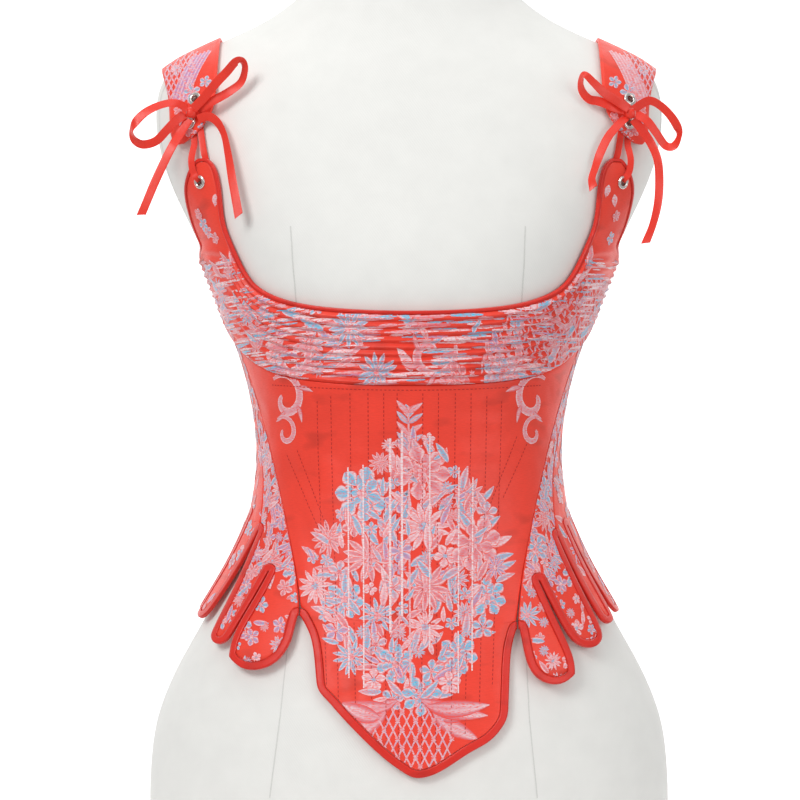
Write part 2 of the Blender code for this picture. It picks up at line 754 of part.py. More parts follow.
def tongue_rows(tab, columns, sign, inner_top, base_row, seam_turn):
    """Rows of a tab below its base row: necked at the slits and rounded at the tip.

    Above its inner slit a tab's edge follows the seam.
    """
    _, panel, in_slit, out_slit, in_low, out_low, tip, slit_height = tab
    slit_tops = (inner_top + ARCH_DROP, slit_height + ARCH_DROP)
    centre_back = out_slit >= CENTRE_BACK_TURN
    tip_height = tip + REACH
    spread = surface_point(in_low, tip + 0.02) - surface_point(out_low, tip + 0.02)
    radius = max(spread.length / 2 - REACH, 0.004)
    side_foot = tip_height + min(radius * TAB_SHOULDER_SHARE, TAB_SHOULDER_MOST)
    feet = (side_foot, tip_height if centre_back else side_foot)
    rounding = math.pi / 2 if centre_back else math.pi

    def edge(which, height):
        top = slit_tops[which]
        if which == 0 and height > top:
            return seam_turn(height)
        high, low = ((in_slit, in_low), (out_slit, out_low))[which]
        arch_low = top - ARCH_DROP
        share = smooth_step((arch_low - height) / (arch_low - side_foot))
        turn = high if centre_back and which == 1 else plumb_turn(high, top, max(height, arch_low))
        turn += (low - turn) * share
        inward = 1.0 if which == 0 else -1.0
        stand = SEAM_GAP / 2 if which == 1 and centre_back else slit_notch(height, top)
        return turn + inward * turn_step(turn, height, stand)

    def neck(which, height):
        """Turn that the columns next to an edge keep inside: the edge's, from below its arch."""
        top = slit_tops[which]
        if which == 0 and height > top:
            share = (base_row[0][1] - height) / (base_row[0][1] - top)
            return seam_turn(height) + turn_step(seam_turn(height), height, NOTCH * share)
        return edge(which, min(height, top - ARCH_DROP))

    drops = []
    for which in (0, 1):
        above = base_row[0][1] - slit_tops[0]
        more = 2 if above > SEAM_GAP else 0
        levels = [slit_tops[which] - ARCH_DROP * share for share in ARCH_SHARES]
        if which == 0:
            levels = [slit_tops[0] + above * share for share in (1.0, 0.5)[:more]] + levels
            more = 0
        shares = [(k + 1) / (more + 2) for k in range(more + 2)]
        levels += [levels[-1] + (feet[which] - levels[-1]) * share for share in shares]
        drops.append(levels)
    rows = []
    steps = len(drops[0])
    for step in range(1, steps):
        row = []
        for c in range(columns + 1):
            share = c / columns
            angle = rounding * share
            rounded = (1 - math.cos(angle)) / (1 - math.cos(rounding))
            foot = side_foot - (side_foot - tip_height) * math.sin(angle) ** TAB_ROUNDNESS
            falls = [(drops[k][0] - drops[k][step]) / (drops[k][0] - feet[k]) for k in (0, 1)]
            fall = falls[0] + (falls[1] - falls[0]) * min(c / (columns - 1), 1.0)
            height = base_row[c][1] + (foot - base_row[c][1]) * fall
            start, end = neck(0, drops[0][step]), neck(1, drops[1][step])
            turn = start + (end - start) * (share + (rounded - share) * fall)
            if c in (0, columns):
                which = c // columns
                height = drops[which][step]
                turn = edge(which, height)
            row.append((sign * turn, height, tab_flare(height)))
        rows.append(row)
    return rows


def make_panel(side, panel, columns):
    """A side or a back with its tabs, and the path round its hem for the binding."""
    sign = SIDE_SIGN[side]
    tabs = [list(tab) for tab in TABS if tab[0] == side and tab[1] == panel]
    seam_column = 1 if side == "L" else 2
    if panel == "side":
        slits = [SIDE_SLIT_HEIGHT[side]] + [tab[7] for tab in tabs]
        tabs[0][2] = front_seam_turn(slits[0] + ARCH_DROP)
        first_turn = seam_top_turn()
    else:
        slits = [[tab for tab in TABS if tab[0] == side and tab[1] == "side"][-1][7]]
        slits += [tab[7] for tab in tabs]
        first_turn = SIDE_SEAM_TOP_TURN

    def start_turn(height):
        if panel == "side":
            turn = front_seam_turn(height)
        else:
            turn = table_value(SIDE_SEAM, seam_column, height)
        return turn + turn_step(turn, height, SEAM_GAP / 2)

    def end_turn(height):
        turn = table_value(SIDE_SEAM, seam_column, height) if panel == "side" else 180.0
        return turn - turn_step(turn, height, SEAM_GAP / 2)

    def top_height(share):
        if panel == "side":
            turn = first_turn + (SIDE_SEAM_TOP_TURN - first_turn) * share
            return band_lower_height(turn) - BAND_GAP
        return table_value(BACK_TOP, 1, first_turn + (180.0 - first_turn) * share)

    total = columns * len(tabs)
    base = []
    for c in range(total + 1):
        tab = min(c // columns, len(tabs) - 1)
        part = (c - tab * columns) / columns
        high, low = slits[tab] + ARCH_DROP, slits[tab + 1] + ARCH_DROP
        if panel == "side" and tab == 0:
            high = low
        base.append(high + (low - high) * levelled(part, columns))
    if panel == "side":
        first = [top_height(0.0)] + list(FRONT_ROW_HEIGHTS) + [base[0]]
        last = [top_height(1.0)] + list(SIDE_ROWS_BACK) + [base[-1]]
    else:
        first = [top_height(0.0)] + list(BACK_ROWS_ABOVE) + list(SIDE_ROWS_BACK) + [base[0]]
        even = len(first) - 1
        last = [top_height(1.0) + (base[-1] - top_height(1.0)) * k / even for k in range(even + 1)]
    levels = len(first) - 1
    rows = []
    for level in range(levels + 1):
        row = []
        for c in range(total + 1):
            share = c / total
            tab = min(c // columns, len(tabs) - 1)
            part = (c - tab * columns) / columns
            falls = [(line[0] - line[level]) / (line[0] - line[-1]) for line in (first, last)]
            fall = falls[0] + (falls[1] - falls[0]) * share
            height = top_height(share) + (base[c] - top_height(share)) * fall
            top, foot = top_height(share), base[c]
            foot_in = start_turn(foot) if tab == 0 else tabs[tab][2]
            foot_out = end_turn(foot) if tab == len(tabs) - 1 else tabs[tab][3]
            if 0 < part < 1:
                if panel == "back" or tab > 0:
                    foot_in += turn_step(foot_in, foot, NOTCH)
                if tabs[tab][3] < CENTRE_BACK_TURN:
                    foot_out -= turn_step(foot_out, foot, NOTCH)
            foot_turn = foot_in + (foot_out - foot_in) * part
            foot_share = (foot_turn - start_turn(foot)) / (end_turn(foot) - start_turn(foot))
            mixed = share + (foot_share - share) * level / levels
            start, end = start_turn(height), end_turn(height)
            top_start, top_end = start_turn(top), end_turn(top)
            top_turn = start_turn(first[0]) * (1 - share) + end_turn(last[0]) * share
            off = top_turn - (top_start + (top_end - top_start) * share)
            turn = start + (end - start) * mixed + off * (1 - level / levels)
            row.append((sign * turn, height, tab_flare(height)))
        rows.append(row)
    cloth = Cloth()
    cloth.patch(rows)
    hem = []
    for number, tab in enumerate(tabs):
        base_row = rows[-1][number * columns:(number + 1) * columns + 1]
        tongue = tongue_rows(tab, columns, sign, slits[number], base_row, start_turn)
        cloth.patch([base_row] + tongue)
        slit_top = slits[number] + ARCH_DROP + SEAM_GAP
        down = [row[0] for row in [base_row] + tongue[:-1] if row[0][1] < slit_top]
        hem += down + list(tongue[-1])
        if tab[3] < CENTRE_BACK_TURN:
            hem += [row[-1] for row in reversed(tongue[:-1])]
    if tabs[-1][3] < CENTRE_BACK_TURN:
        hem.append(rows[-1][-1])
    return cloth, rows, hem


def make_band():
    """The corded band: rows of cords follow the neckline, and a plain tab stands at each end."""
    half = band_columns()
    columns = [(-1.0, *column) for column in reversed(half)] + [(1.0, *column) for column in half[1:]]
    levels = 2 * CORD_ROWS
    rows, relief = [], []
    for level in range(levels + 1):
        share = level / levels
        row, raised = [], []
        for sign, key, low_turn, low, high_turn, high in columns:
            turn = high_turn + (low_turn - high_turn) * share
            height = high + (low - high) * share
            end = key == half[-1][0]
            if end:
                turn -= turn_step(turn, height, SEAM_GAP / 2)
            row.append((sign * turn, height, 0.0))
            raised.append(CORD_RISE if level % 2 and not end else 0.0)
        rows.append(row)
        relief.append(raised)
    cloth = Cloth()
    cloth.patch(rows, relief)
    picked = [c for c, column in enumerate(columns) if BAND_TAB_ROWS[0] <= column[1] <= BAND_TAB_ROWS[1]]
    count = len(picked) // 2
    chosen = {"L": picked[:count], "R": picked[count:]}
    standing = {}
    for side, sign in SIDE_SIGN.items():
        lines = []
        for height, inner_x, outer_x in reversed(STRAP_TAB):
            start, end = front_turn(inner_x, height), front_turn(outer_x, height)
            line = [(sign * (start + (end - start) * c / (count - 1)), height, 0.0) for c in range(count)]
            lines.append(line[::int(sign)])
        lines.append([rows[0][c] for c in chosen[side]])
        cloth.patch(lines)
        standing[side] = lines
    upper = list(rows[0])
    outline = upper[:chosen["L"][0]]
    outline += [row[0] for row in reversed(standing["L"])] + standing["L"][0][1:-1]
    outline += [row[-1] for row in standing["L"]]
    outline += upper[chosen["L"][-1] + 1:chosen["R"][0]]
    outline += [row[0] for row in reversed(standing["R"])] + standing["R"][0][1:-1]
    outline += [row[-1] for row in standing["R"]]
    outline += upper[chosen["R"][-1] + 1:]
    return cloth, outline


def short_of_strap(path, end, sign):
    """A path whose end place is drawn back a little from the strap's foot."""
    turn, height, extra = path[end]
    path = list(path)
    path[end] = (turn + sign * turn_step(turn, height, STRAP_FOOT_CLEAR), height, extra)
    return path


def shoulder_point(x, turn):
    """A point on the form over the shoulder, by its turn about a line across the body."""
    direction = Vector((0.0, -math.cos(math.radians(turn)), math.sin(math.radians(turn))))
    start = Vector((x, FORM_MIDDLE_Y, STRAP_PIVOT_HEIGHT))
    near, far = 0.0, 0.14
    for _ in range(40):
        middle = (near + far) / 2
        if insideness(start + direction * middle) < 1.0:
            near = middle
        else:
            far = middle
    point = start + direction * near
    return point, surface_normal(point)


def make_strap(side, material, collection):
    """The strap: a wall over the shoulder, pointed at its front end."""
    sign = SIDE_SIGN[side]
    outer, inner = [], []
    turns = list(STRAP_END_TURNS)
    last = STRAP_SECTIONS[-1][0]
    between = round((last - turns[-1]) / STRAP_ROW_STEP)
    turns += [turns[-1] + (last - turns[-1]) * k / between for k in range(1, between + 1)]
    for turn in turns:
        inner_x, outer_x, lift = [table_value(STRAP_SECTIONS, column, turn) for column in (1, 2, 3)]
        for c in range(STRAP_ACROSS):
            x = inner_x + (outer_x - inner_x) * c / (STRAP_ACROSS - 1)
            point, normal = shoulder_point(sign * x, turn)
            outer.append(point + normal * (lift + STRAP_CLOTH))
            inner.append(point + normal * lift)
    foot_height = BACK_TOP[5][1] + SEAM_GAP
    for c in range(STRAP_ACROSS):
        turn = STRAP_FOOT_TURNS[1] - (STRAP_FOOT_TURNS[1] - STRAP_FOOT_TURNS[0]) * c / (STRAP_ACROSS - 1)
        outer.append(lifted(sign * turn, foot_height, CLEAR + STRAP_CLOTH))
        inner.append(lifted(sign * turn, foot_height, CLEAR))
    count = len(outer)
    faces = []
    rows = len(turns) + 1
    for r in range(rows - 1):
        for c in range(STRAP_ACROSS - 1):
            a = r * STRAP_ACROSS + c
            quad = [a, a + 1, a + STRAP_ACROSS + 1, a + STRAP_ACROSS]
            faces.append(quad)
            faces.append([n + count for n in reversed(quad)])
    loop = list(range(STRAP_ACROSS))
    loop += [r * STRAP_ACROSS + STRAP_ACROSS - 1 for r in range(1, rows)]
    loop += [(rows - 1) * STRAP_ACROSS + c for c in reversed(range(STRAP_ACROSS - 1))]
    loop += [r * STRAP_ACROSS for r in reversed(range(1, rows - 1))]
    for start, end in zip(loop, loop[1:] + loop[:1]):
        faces.append([end, start, start + count, end + count])
    return mesh_object("strap_" + side, outer + inner, faces, material, collection)


def eyelet_seat(x, height, on, side):
    """Centre on the cloth's outer face and the outward direction there."""
    sign = SIDE_SIGN[side]
    if on == "band":
        turn = sign * front_turn(x, height)
        normal = surface_normal(surface_point(turn, height))
        return lifted(turn, height, CLEAR + BAND_CLOTH), normal
    turn = sign * front_turn(x, height)
    base = surface_point(turn, height)
    swing = math.degrees(math.atan2(height - STRAP_PIVOT_HEIGHT, FORM_MIDDLE_Y - base.y))
    lift = table_value(STRAP_SECTIONS, 3, swing)
    normal = surface_normal(base)
    return base + normal * (lift + STRAP_CLOTH), normal


def facing(normal):
    """Rotation that turns +Z to a direction."""
    return Vector((0.0, 0.0, 1.0)).rotation_difference(normal).to_matrix().to_4x4()


def cut_hole(target, seat, normal, cutters):
    """A round hole through the cloth for an eyelet."""
    body = bmesh.new()
    bmesh.ops.create_cone(body, cap_ends=True, segments=EYELET_SEGMENTS, radius1=EYELET_HOLE,
                          radius2=EYELET_HOLE, depth=0.012)
    mesh = bpy.data.meshes.new("hole")
    body.to_mesh(mesh)
    body.free()
    cutter = bpy.data.objects.new(target.name + "_hole", mesh)
    cutter.matrix_world = Matrix.Translation(seat) @ facing(normal)
    cutter.hide_render = True
    cutter.display_type = "WIRE"
    cutters.objects.link(cutter)
    cut = target.modifiers.new("eyelet_hole", "BOOLEAN")
    cut.object = cutter
    cut.solver = "EXACT"


def make_eyelet(name, seat, normal, cloth_thickness, material, collection):
    """A turned ring: a crowned flange above the cloth and a barrel down through it."""
    gap = 0.0003
    profile = (
        # radius, height above the cloth
        (EYELET_BORE + 0.0003, EYELET_RISE + gap),
        (EYELET_OUTER - 0.0006, EYELET_RISE * 0.7 + gap),
        (EYELET_OUTER, gap),
        (EYELET_HOLE - 0.0003, gap),
        (EYELET_HOLE - 0.0003, 0.0002 - cloth_thickness),
        (EYELET_BORE, 0.0002 - cloth_thickness),
    )
    mesh = bpy.data.meshes.new(name)
    count = len(profile)
    edges = [(i, (i + 1) % count) for i in range(count)]
    mesh.from_pydata([(radius, 0.0, height) for radius, height in profile], edges, [])
    mesh.materials.append(material)
    made = bpy.data.objects.new(name, mesh)
    collection.objects.link(made)
    turned = made.modifiers.new("turned", "SCREW")
    turned.steps = EYELET_SEGMENTS
    turned.render_steps = EYELET_SEGMENTS
    turned.use_merge_vertices = True
    turned.merge_threshold = 0.00001
    turned.use_smooth_shade = True
    made.matrix_world = Matrix.Translation(seat) @ facing(normal)
    return made


def smooth_route(route, steps):
    """Rows on a smooth curve through a route's rows, so that no stretch twists far."""
    rows = [Vector(row) for row in route]
    rows = [2 * rows[0] - rows[1]] + rows + [2 * rows[-1] - rows[-2]]
    found = []
    for number in range(1, len(rows) - 2):
        a, b, c, d = rows[number - 1:number + 3]
        for step in range(steps):
            t = step / steps
            bend = (2 * a - 5 * b + 4 * c - d) * t ** 2 + (3 * b - a - 3 * c + d) * t ** 3
            found.append((2 * b + (c - a) * t + bend) / 2)
    return found + [rows[-2]]


def ribbon_strip(name, route, width, thick, steps, material, collection):
    """A flat ribbon along a route of (x, y, height, tilt)."""
    route = smooth_route(route, steps)
    places = [Vector(row[:3]) for row in route]
    count = len(places)
    points = []
    for number in range(count):
        along = (places[min(number + 1, count - 1)] - places[max(number - 1, 0)]).normalized()
        across = along.cross(Vector((0.0, -1.0, 0.0))).normalized()
        across = Matrix.Rotation(math.radians(route[number][3]), 3, along) @ across
        up = along.cross(across).normalized()
        for a, b in ((-1, -1), (1, -1), (1, 1), (-1, 1)):
            points.append(places[number] + across * (a * width / 2) + up * (b * thick / 2))
    faces = [[3, 2, 1, 0], [4 * (count - 1) + i for i in range(4)]]
    for number in range(count - 1):
        for i in range(4):
            j = (i + 1) % 4
            base = 4 * number
            faces.append([base + i, base + j, base + 4 + j, base + 4 + i])
    return mesh_object(name, points, faces, material, collection)


def make_lace(row, material, collection):
    """A strand from the tab's eyelet up behind the strap's end."""
    place, side, low_x, high_x, low, high = row
    name = place + "_" + side
    sign = SIDE_SIGN[side]
    route = []
    for height, lift in LACE_LIFTS[name]:
        share = (height - low) / (high - low)
        x = low_x + (high_x - low_x) * share
        point = lifted(sign * front_turn(x, height), height, lift)
        route.append((*point, 0.0))
    return ribbon_strip(name, route, LACE_WIDTH, RIBBON_THICK, 1, material, collection)


def make_knot(side, material, collection):
    """The bow's knot: a soft rounded block."""
    body = bmesh.new()
    columns, rows = KNOT_SEGMENTS
    bmesh.ops.create_uvsphere(body, u_segments=columns, v_segments=rows, radius=0.5)
    mesh = bpy.data.meshes.new("bow_knot_" + side)
    bmesh.ops.scale(body, vec=Vector(KNOT_SIZE), verts=body.verts)
    body.to_mesh(mesh)
    body.free()
    mesh.materials.append(material)
    mesh.shade_smooth()
    made = bpy.data.objects.new("bow_knot_" + side, mesh)
    made.location = KNOTS[side]
    collection.objects.link(made)
    return made


def main():
    clear_scene()
    parts = new_collection("corset top on a dress form")
    cutters = new_collection("cutters")
    paint = {name: new_material(name) for name in COLOURS}
    cloth, trim = paint["brocade"], paint["satin binding"]
    make_form(paint["form cloth"], parts)

    front, hem = make_front()
    front.wall("front_centre", cloth, parts)
    binding("front_binding", hem, HEM_BINDING, 1.0, CLOTH, trim, parts)

    for side in "LR":
        outward = -1.0 if side == "L" else 1.0
        panel, _, hem = make_panel(side, "side", 5)
        panel.wall("side_" + side, cloth, parts)
        binding("side_binding_" + side, hem, HEM_BINDING, outward, CLOTH, trim, parts)
        panel, rows, hem = make_panel(side, "back", 4)
        panel.wall("back_" + side, cloth, parts)
        binding("back_binding_" + side, hem, HEM_BINDING, outward, CLOTH, trim, parts)
        foot = STRAP_FOOT_COLUMNS
        armhole = short_of_strap(rows[0][:foot[0] + 1], -1, -SIDE_SIGN[side])
        neck = short_of_strap(rows[0][foot[1]:], 0, SIDE_SIGN[side])
        binding("armhole_binding_" + side, armhole, EDGE_BINDING, -outward, CLOTH, trim, parts)
        binding("back_neck_binding_" + side, neck, EDGE_BINDING, -outward, CLOTH, trim, parts)

    band, outline = make_band()
    band_wall = band.wall("bust_band", cloth, parts, BAND_CLOTH)
    binding("neckline_binding", outline, EDGE_BINDING, -1.0, BAND_CLOTH, trim, parts)

    straps = {side: make_strap(side, cloth, parts) for side in "LR"}
    for place, side, x, height, on in EYELETS:
        seat, normal = eyelet_seat(x, height, on, side)
        cut_hole(band_wall if on == "band" else straps[side], seat, normal, cutters)
        thickness = BAND_CLOTH if on == "band" else STRAP_CLOTH
        make_eyelet("eyelet_" + place + "_" + side, seat, normal, thickness, paint["eyelet metal"], parts)

    for name, route in RIBBONS.items():
        ribbon_strip(name, route, RIBBON_WIDTH, RIBBON_THICK, RIBBON_STEPS, paint["ribbon"], parts)
    for row in LACES:
        make_lace(row, paint["ribbon"], parts)
    for side in "LR":
        make_knot(side, paint["ribbon"], parts)


main()
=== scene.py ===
"""A red brocade corset top on a dress form: fine cloth, woven flowers and ribbons over its solids."""

import logging
import math
import random
from dataclasses import dataclass, field
from enum import Enum
from typing import Callable, Dict, List, Optional, Sequence, Tuple

import bmesh
import bpy
import numpy as np
from mathutils import Matrix, Vector
from mathutils.bvhtree import BVHTree

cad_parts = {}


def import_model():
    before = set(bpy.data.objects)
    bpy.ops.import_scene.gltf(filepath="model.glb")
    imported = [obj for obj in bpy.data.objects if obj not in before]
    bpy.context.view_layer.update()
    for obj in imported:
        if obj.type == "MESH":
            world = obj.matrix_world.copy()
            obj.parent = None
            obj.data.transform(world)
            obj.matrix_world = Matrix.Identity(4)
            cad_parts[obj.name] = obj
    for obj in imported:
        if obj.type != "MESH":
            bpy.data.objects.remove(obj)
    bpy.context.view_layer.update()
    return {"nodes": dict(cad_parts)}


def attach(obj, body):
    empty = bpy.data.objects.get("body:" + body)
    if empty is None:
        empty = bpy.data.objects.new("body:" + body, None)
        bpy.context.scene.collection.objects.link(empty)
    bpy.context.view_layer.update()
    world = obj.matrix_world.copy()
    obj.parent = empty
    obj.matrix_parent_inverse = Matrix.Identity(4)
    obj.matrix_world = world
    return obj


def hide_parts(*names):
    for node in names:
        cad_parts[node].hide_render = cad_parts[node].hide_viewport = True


LOG = logging.getLogger("corset")

Colour = Tuple[float, float, float]
Grid = np.ndarray
Place = Tuple[float, float]
Box = Tuple[float, float, float, float]
Palette = Tuple[Colour, Colour, Colour, Colour]
Region = Callable[[float, float], bool]
Spot = Tuple[float, float, float]
Socket = bpy.types.NodeSocket
Piece = bpy.types.Object

# The cloth's clearance off the form, the band's thickness, how high its cords stand, and how
# far their crests are pushed out before the faces are divided.
CLEAR = 0.0010
BAND_CLOTH = 0.0026
CORD_RISE = 0.0013
CORD_PUSH = 0.0013

# Middle of the strap's turn over the shoulder, and its radius.
STRAP_PIVOT_HEIGHT = 0.545
STRAP_RADIUS = 0.082

# The ribbons that are tied, and the narrower strands between tab and strap.
RIBBON_WIDTH = 0.00635
RIBBON_THICK = 0.0005
LACE_WIDTH = 0.0046

RED: Colour = (0.985, 0.060, 0.032)
SATIN_RED: Colour = (0.800, 0.026, 0.015)
RIBBON_RED: Colour = (0.920, 0.046, 0.026)
WHITE: Colour = (0.97, 0.80, 0.84)
BRIGHT: Colour = (0.98, 0.86, 0.89)
PALE: Colour = (0.86, 0.41, 0.47)
ROSE: Colour = (0.74, 0.15, 0.19)
SKY: Colour = (0.07, 0.60, 0.88)
BLUE: Colour = (0.12, 0.42, 0.74)
LILAC: Colour = (0.56, 0.33, 0.60)


class Side(Enum):
    """The photo's left and right, as the sign of X."""

    L = -1.0
    R = 1.0


class Bloom(Enum):
    """Kinds of woven blossom."""

    ROSE = "rose"
    ASTER = "aster"
    FIVE = "five petals"
    BUD = "bud"


def table_value(rows: Sequence[Sequence[float]], column: int, key: float) -> float:
    """A smooth value of a table that never overshoots its rows.

    Args:
        rows: rows whose first column is the key, in rising order.
        column: which column to read.
        key: where to read it.

    Returns:
        The value at the key.
    """
    keys = [row[0] for row in rows]
    values = [row[column] for row in rows]
    if key <= keys[0]:
        return values[0]
    if key >= keys[-1]:
        return values[-1]
    step = [(values[i + 1] - values[i]) / (keys[i + 1] - keys[i]) for i in range(len(keys) - 1)]
    slope = [step[0]]
    for before, after in zip(step, step[1:]):
        slope.append(0.0 if before * after <= 0 else 2 * before * after / (before + after))
    slope.append(step[-1])
    i = next(k for k in range(len(keys) - 1) if key <= keys[k + 1])
    width = keys[i + 1] - keys[i]
    t = (key - keys[i]) / width
    rise = t * t * (3 - 2 * t)
    start = t * (1 - t) ** 2
    end = t * t * (t - 1)
    return values[i] * (1 - rise) + values[i + 1] * rise + width * (start * slope[i] + end * slope[i + 1])


def mixed(first: Colour, second: Colour, share: float) -> Colour:
    """A colour between two others."""
    return tuple(a + (b - a) * share for a, b in zip(first, second))


def faded(colour: Colour, share: float) -> Colour:
    """A colour brought towards black."""
    return tuple(part * share for part in colour)


# The form's top, the depth of its middle, and its sections from the base up.
FORM_TOP = 0.735
FORM_MIDDLE_Y = -0.0105
FORM_SECTIONS = (
    # height, half_width, front, back, squareness
    (0.000, 0.1850, 0.112, 0.128, 2.10),
    (0.035, 0.1895, 0.114, 0.132, 2.10),
    (0.075, 0.1920, 0.116, 0.136, 2.10),
    (0.118, 0.1895, 0.115, 0.136, 2.10),
    (0.143, 0.1840, 0.112, 0.133, 2.10),
    (0.173, 0.1710, 0.107, 0.126, 2.10),
    (0.198, 0.1560, 0.103, 0.118, 2.10),
    (0.235, 0.1360, 0.098, 0.107, 2.10),
    (0.265, 0.1220, 0.095, 0.098, 2.10),
    (0.294, 0.1120, 0.092, 0.091, 2.10),
    (0.323, 0.1085, 0.091, 0.088, 2.10),
    (0.345, 0.1095, 0.093, 0.089, 2.10),
    (0.368, 0.1130, 0.097, 0.091, 2.10),
    (0.400, 0.1210, 0.106, 0.096, 2.10),
    (0.430, 0.1330, 0.114, 0.101, 2.10),
    (0.450, 0.1410, 0.117, 0.104, 2.15),
    (0.472, 0.1500, 0.115, 0.106, 2.20),
    (0.497, 0.1620, 0.108, 0.106, 2.30),
    (0.520, 0.1735, 0.101, 0.104, 2.40),
    (0.545, 0.1830, 0.094, 0.101, 2.50),
    (0.572, 0.1875, 0.086, 0.096, 2.50),
    (0.594, 0.1855, 0.079, 0.090, 2.30),
    (0.609, 0.1785, 0.074, 0.085, 2.00),
    (0.621, 0.1580, 0.070, 0.080, 1.80),
    (0.632, 0.1340, 0.066, 0.075, 1.80),
    (0.643, 0.1080, 0.063, 0.071, 1.90),
    (0.658, 0.0860, 0.060, 0.067, 2.00),
    (0.675, 0.0690, 0.057, 0.063, 2.00),
    (0.692, 0.0570, 0.055, 0.060, 2.00),
    (0.710, 0.0530, 0.054, 0.058, 2.00),
    (0.735, 0.0520, 0.053, 0.057, 2.00),
)


class FormShape:
    """The dress form's rounded sections, as the solids have them, for many places at once."""

    def __init__(self, step: float = 0.001, turn_step: float = 0.5) -> None:
        """Works out fine tables of the sections and of the distance round them.

        Args:
            step: spacing of the heights, in metres.
            turn_step: spacing of the turns, in degrees.
        """
        self.heights = np.arange(0.0, FORM_TOP + step / 2, step)
        self.table = np.array([
            [table_value(FORM_SECTIONS, column, height) for column in (1, 2, 3, 4)] for height in self.heights
        ])
        self.turns = np.arange(0.0, 180.0 + turn_step / 2, turn_step)
        turns, heights = np.meshgrid(self.turns, self.heights)
        places = self.points(turns.ravel(), heights.ravel()).reshape(*turns.shape, 3)
        steps = np.linalg.norm(np.diff(places, axis=1), axis=2)
        self.arcs = np.concatenate([np.zeros((len(self.heights), 1)), np.cumsum(steps, axis=1)], axis=1)

    def sections(self, heights: Grid) -> List[Grid]:
        """Half-width, front depth, back depth and squareness at each height."""
        return [np.interp(heights, self.heights, self.table[:, column]) for column in range(4)]

    def points(self, turns: Grid, heights: Grid) -> Grid:
        """Points of the surface.

        Args:
            turns: degrees from the front, positive towards plus X.
            heights: heights above the base.

        Returns:
            One row of x, y and height for each place.
        """
        half_width, front, back, square = self.sections(heights)
        across, ahead = np.sin(np.radians(turns)), np.cos(np.radians(turns))
        depth = np.where(ahead > 0, front, back)
        x = np.sign(across) * half_width * np.abs(across) ** (2 / square)
        y = -np.sign(ahead) * depth * np.abs(ahead) ** (2 / square)
        return np.stack([x, y + FORM_MIDDLE_Y, heights], axis=-1)

    def turns_of(self, points: Grid) -> Grid:
        """The turns of points.

        Args:
            points: points on or near the surface.

        Returns:
            Each point's turn in degrees from the front.
        """
        half_width, front, back, square = self.sections(points[:, 2])
        y = points[:, 1] - FORM_MIDDLE_Y
        depth = np.where(y < 0, front, back)
        across = np.sign(points[:, 0]) * np.abs(points[:, 0] / half_width) ** (square / 2)
        ahead = -np.sign(y) * np.abs(y / depth) ** (square / 2)
        return np.degrees(np.arctan2(across, ahead))

    def outward(self, turns: Grid, heights: Grid) -> Grid:
        """The surface's outward directions.

        Args:
            turns: degrees from the front.
            heights: heights above the base.

        Returns:
            One unit direction for each place.
        """
        along = self.points(turns + 0.4, heights) - self.points(turns - 0.4, heights)
        rise = self.points(turns, heights + 0.002) - self.points(turns, heights - 0.002)
        out = np.cross(along, rise)
        return out / np.linalg.norm(out, axis=1, keepdims=True)

    def lifts_of(self, points: Grid) -> Grid:
        """How far points stand off the surface."""
        turns = self.turns_of(points)
        base = self.points(turns, points[:, 2])
        return np.sum((points - base) * self.outward(turns, points[:, 2]), axis=1)

    def arcs_of(self, points: Grid) -> Grid:
        """Distances round the form from the middle of the front.

        Args:
            points: points on or near the surface.

        Returns:
            Each distance in metres, negative on the side of minus X.
        """
        turns = self.turns_of(points)
        row = np.clip(points[:, 2] / self.heights[1], 0.0, len(self.heights) - 1.001)
        column = np.clip(np.abs(turns) / self.turns[1], 0.0, len(self.turns) - 1.001)
        r, c = row.astype(int), column.astype(int)
        fr, fc = row - r, column - c
        low = self.arcs[r, c] * (1 - fc) + self.arcs[r, c + 1] * fc
        high = self.arcs[r + 1, c] * (1 - fc) + self.arcs[r + 1, c + 1] * fc
        return np.sign(turns) * (low * (1 - fr) + high * fr)

    def turns_at(self, arcs: Grid, heights: Grid) -> Grid:
        """The turns that lie at distances round the form.

        Args:
            arcs: distances from the middle of the front, with the side's sign.
            heights: heights above the base.

        Returns:
            Each place's turn in degrees from the front.
        """
        rows = np.clip(np.rint(heights / self.heights[1]).astype(int), 0, len(self.heights) - 1)
        found = np.zeros(len(arcs))
        for row in np.unique(rows):
            picked = rows == row
            found[picked] = np.interp(np.abs(arcs[picked]), self.arcs[row], self.turns)
        return np.sign(arcs) * found


SHAPE = FormShape()


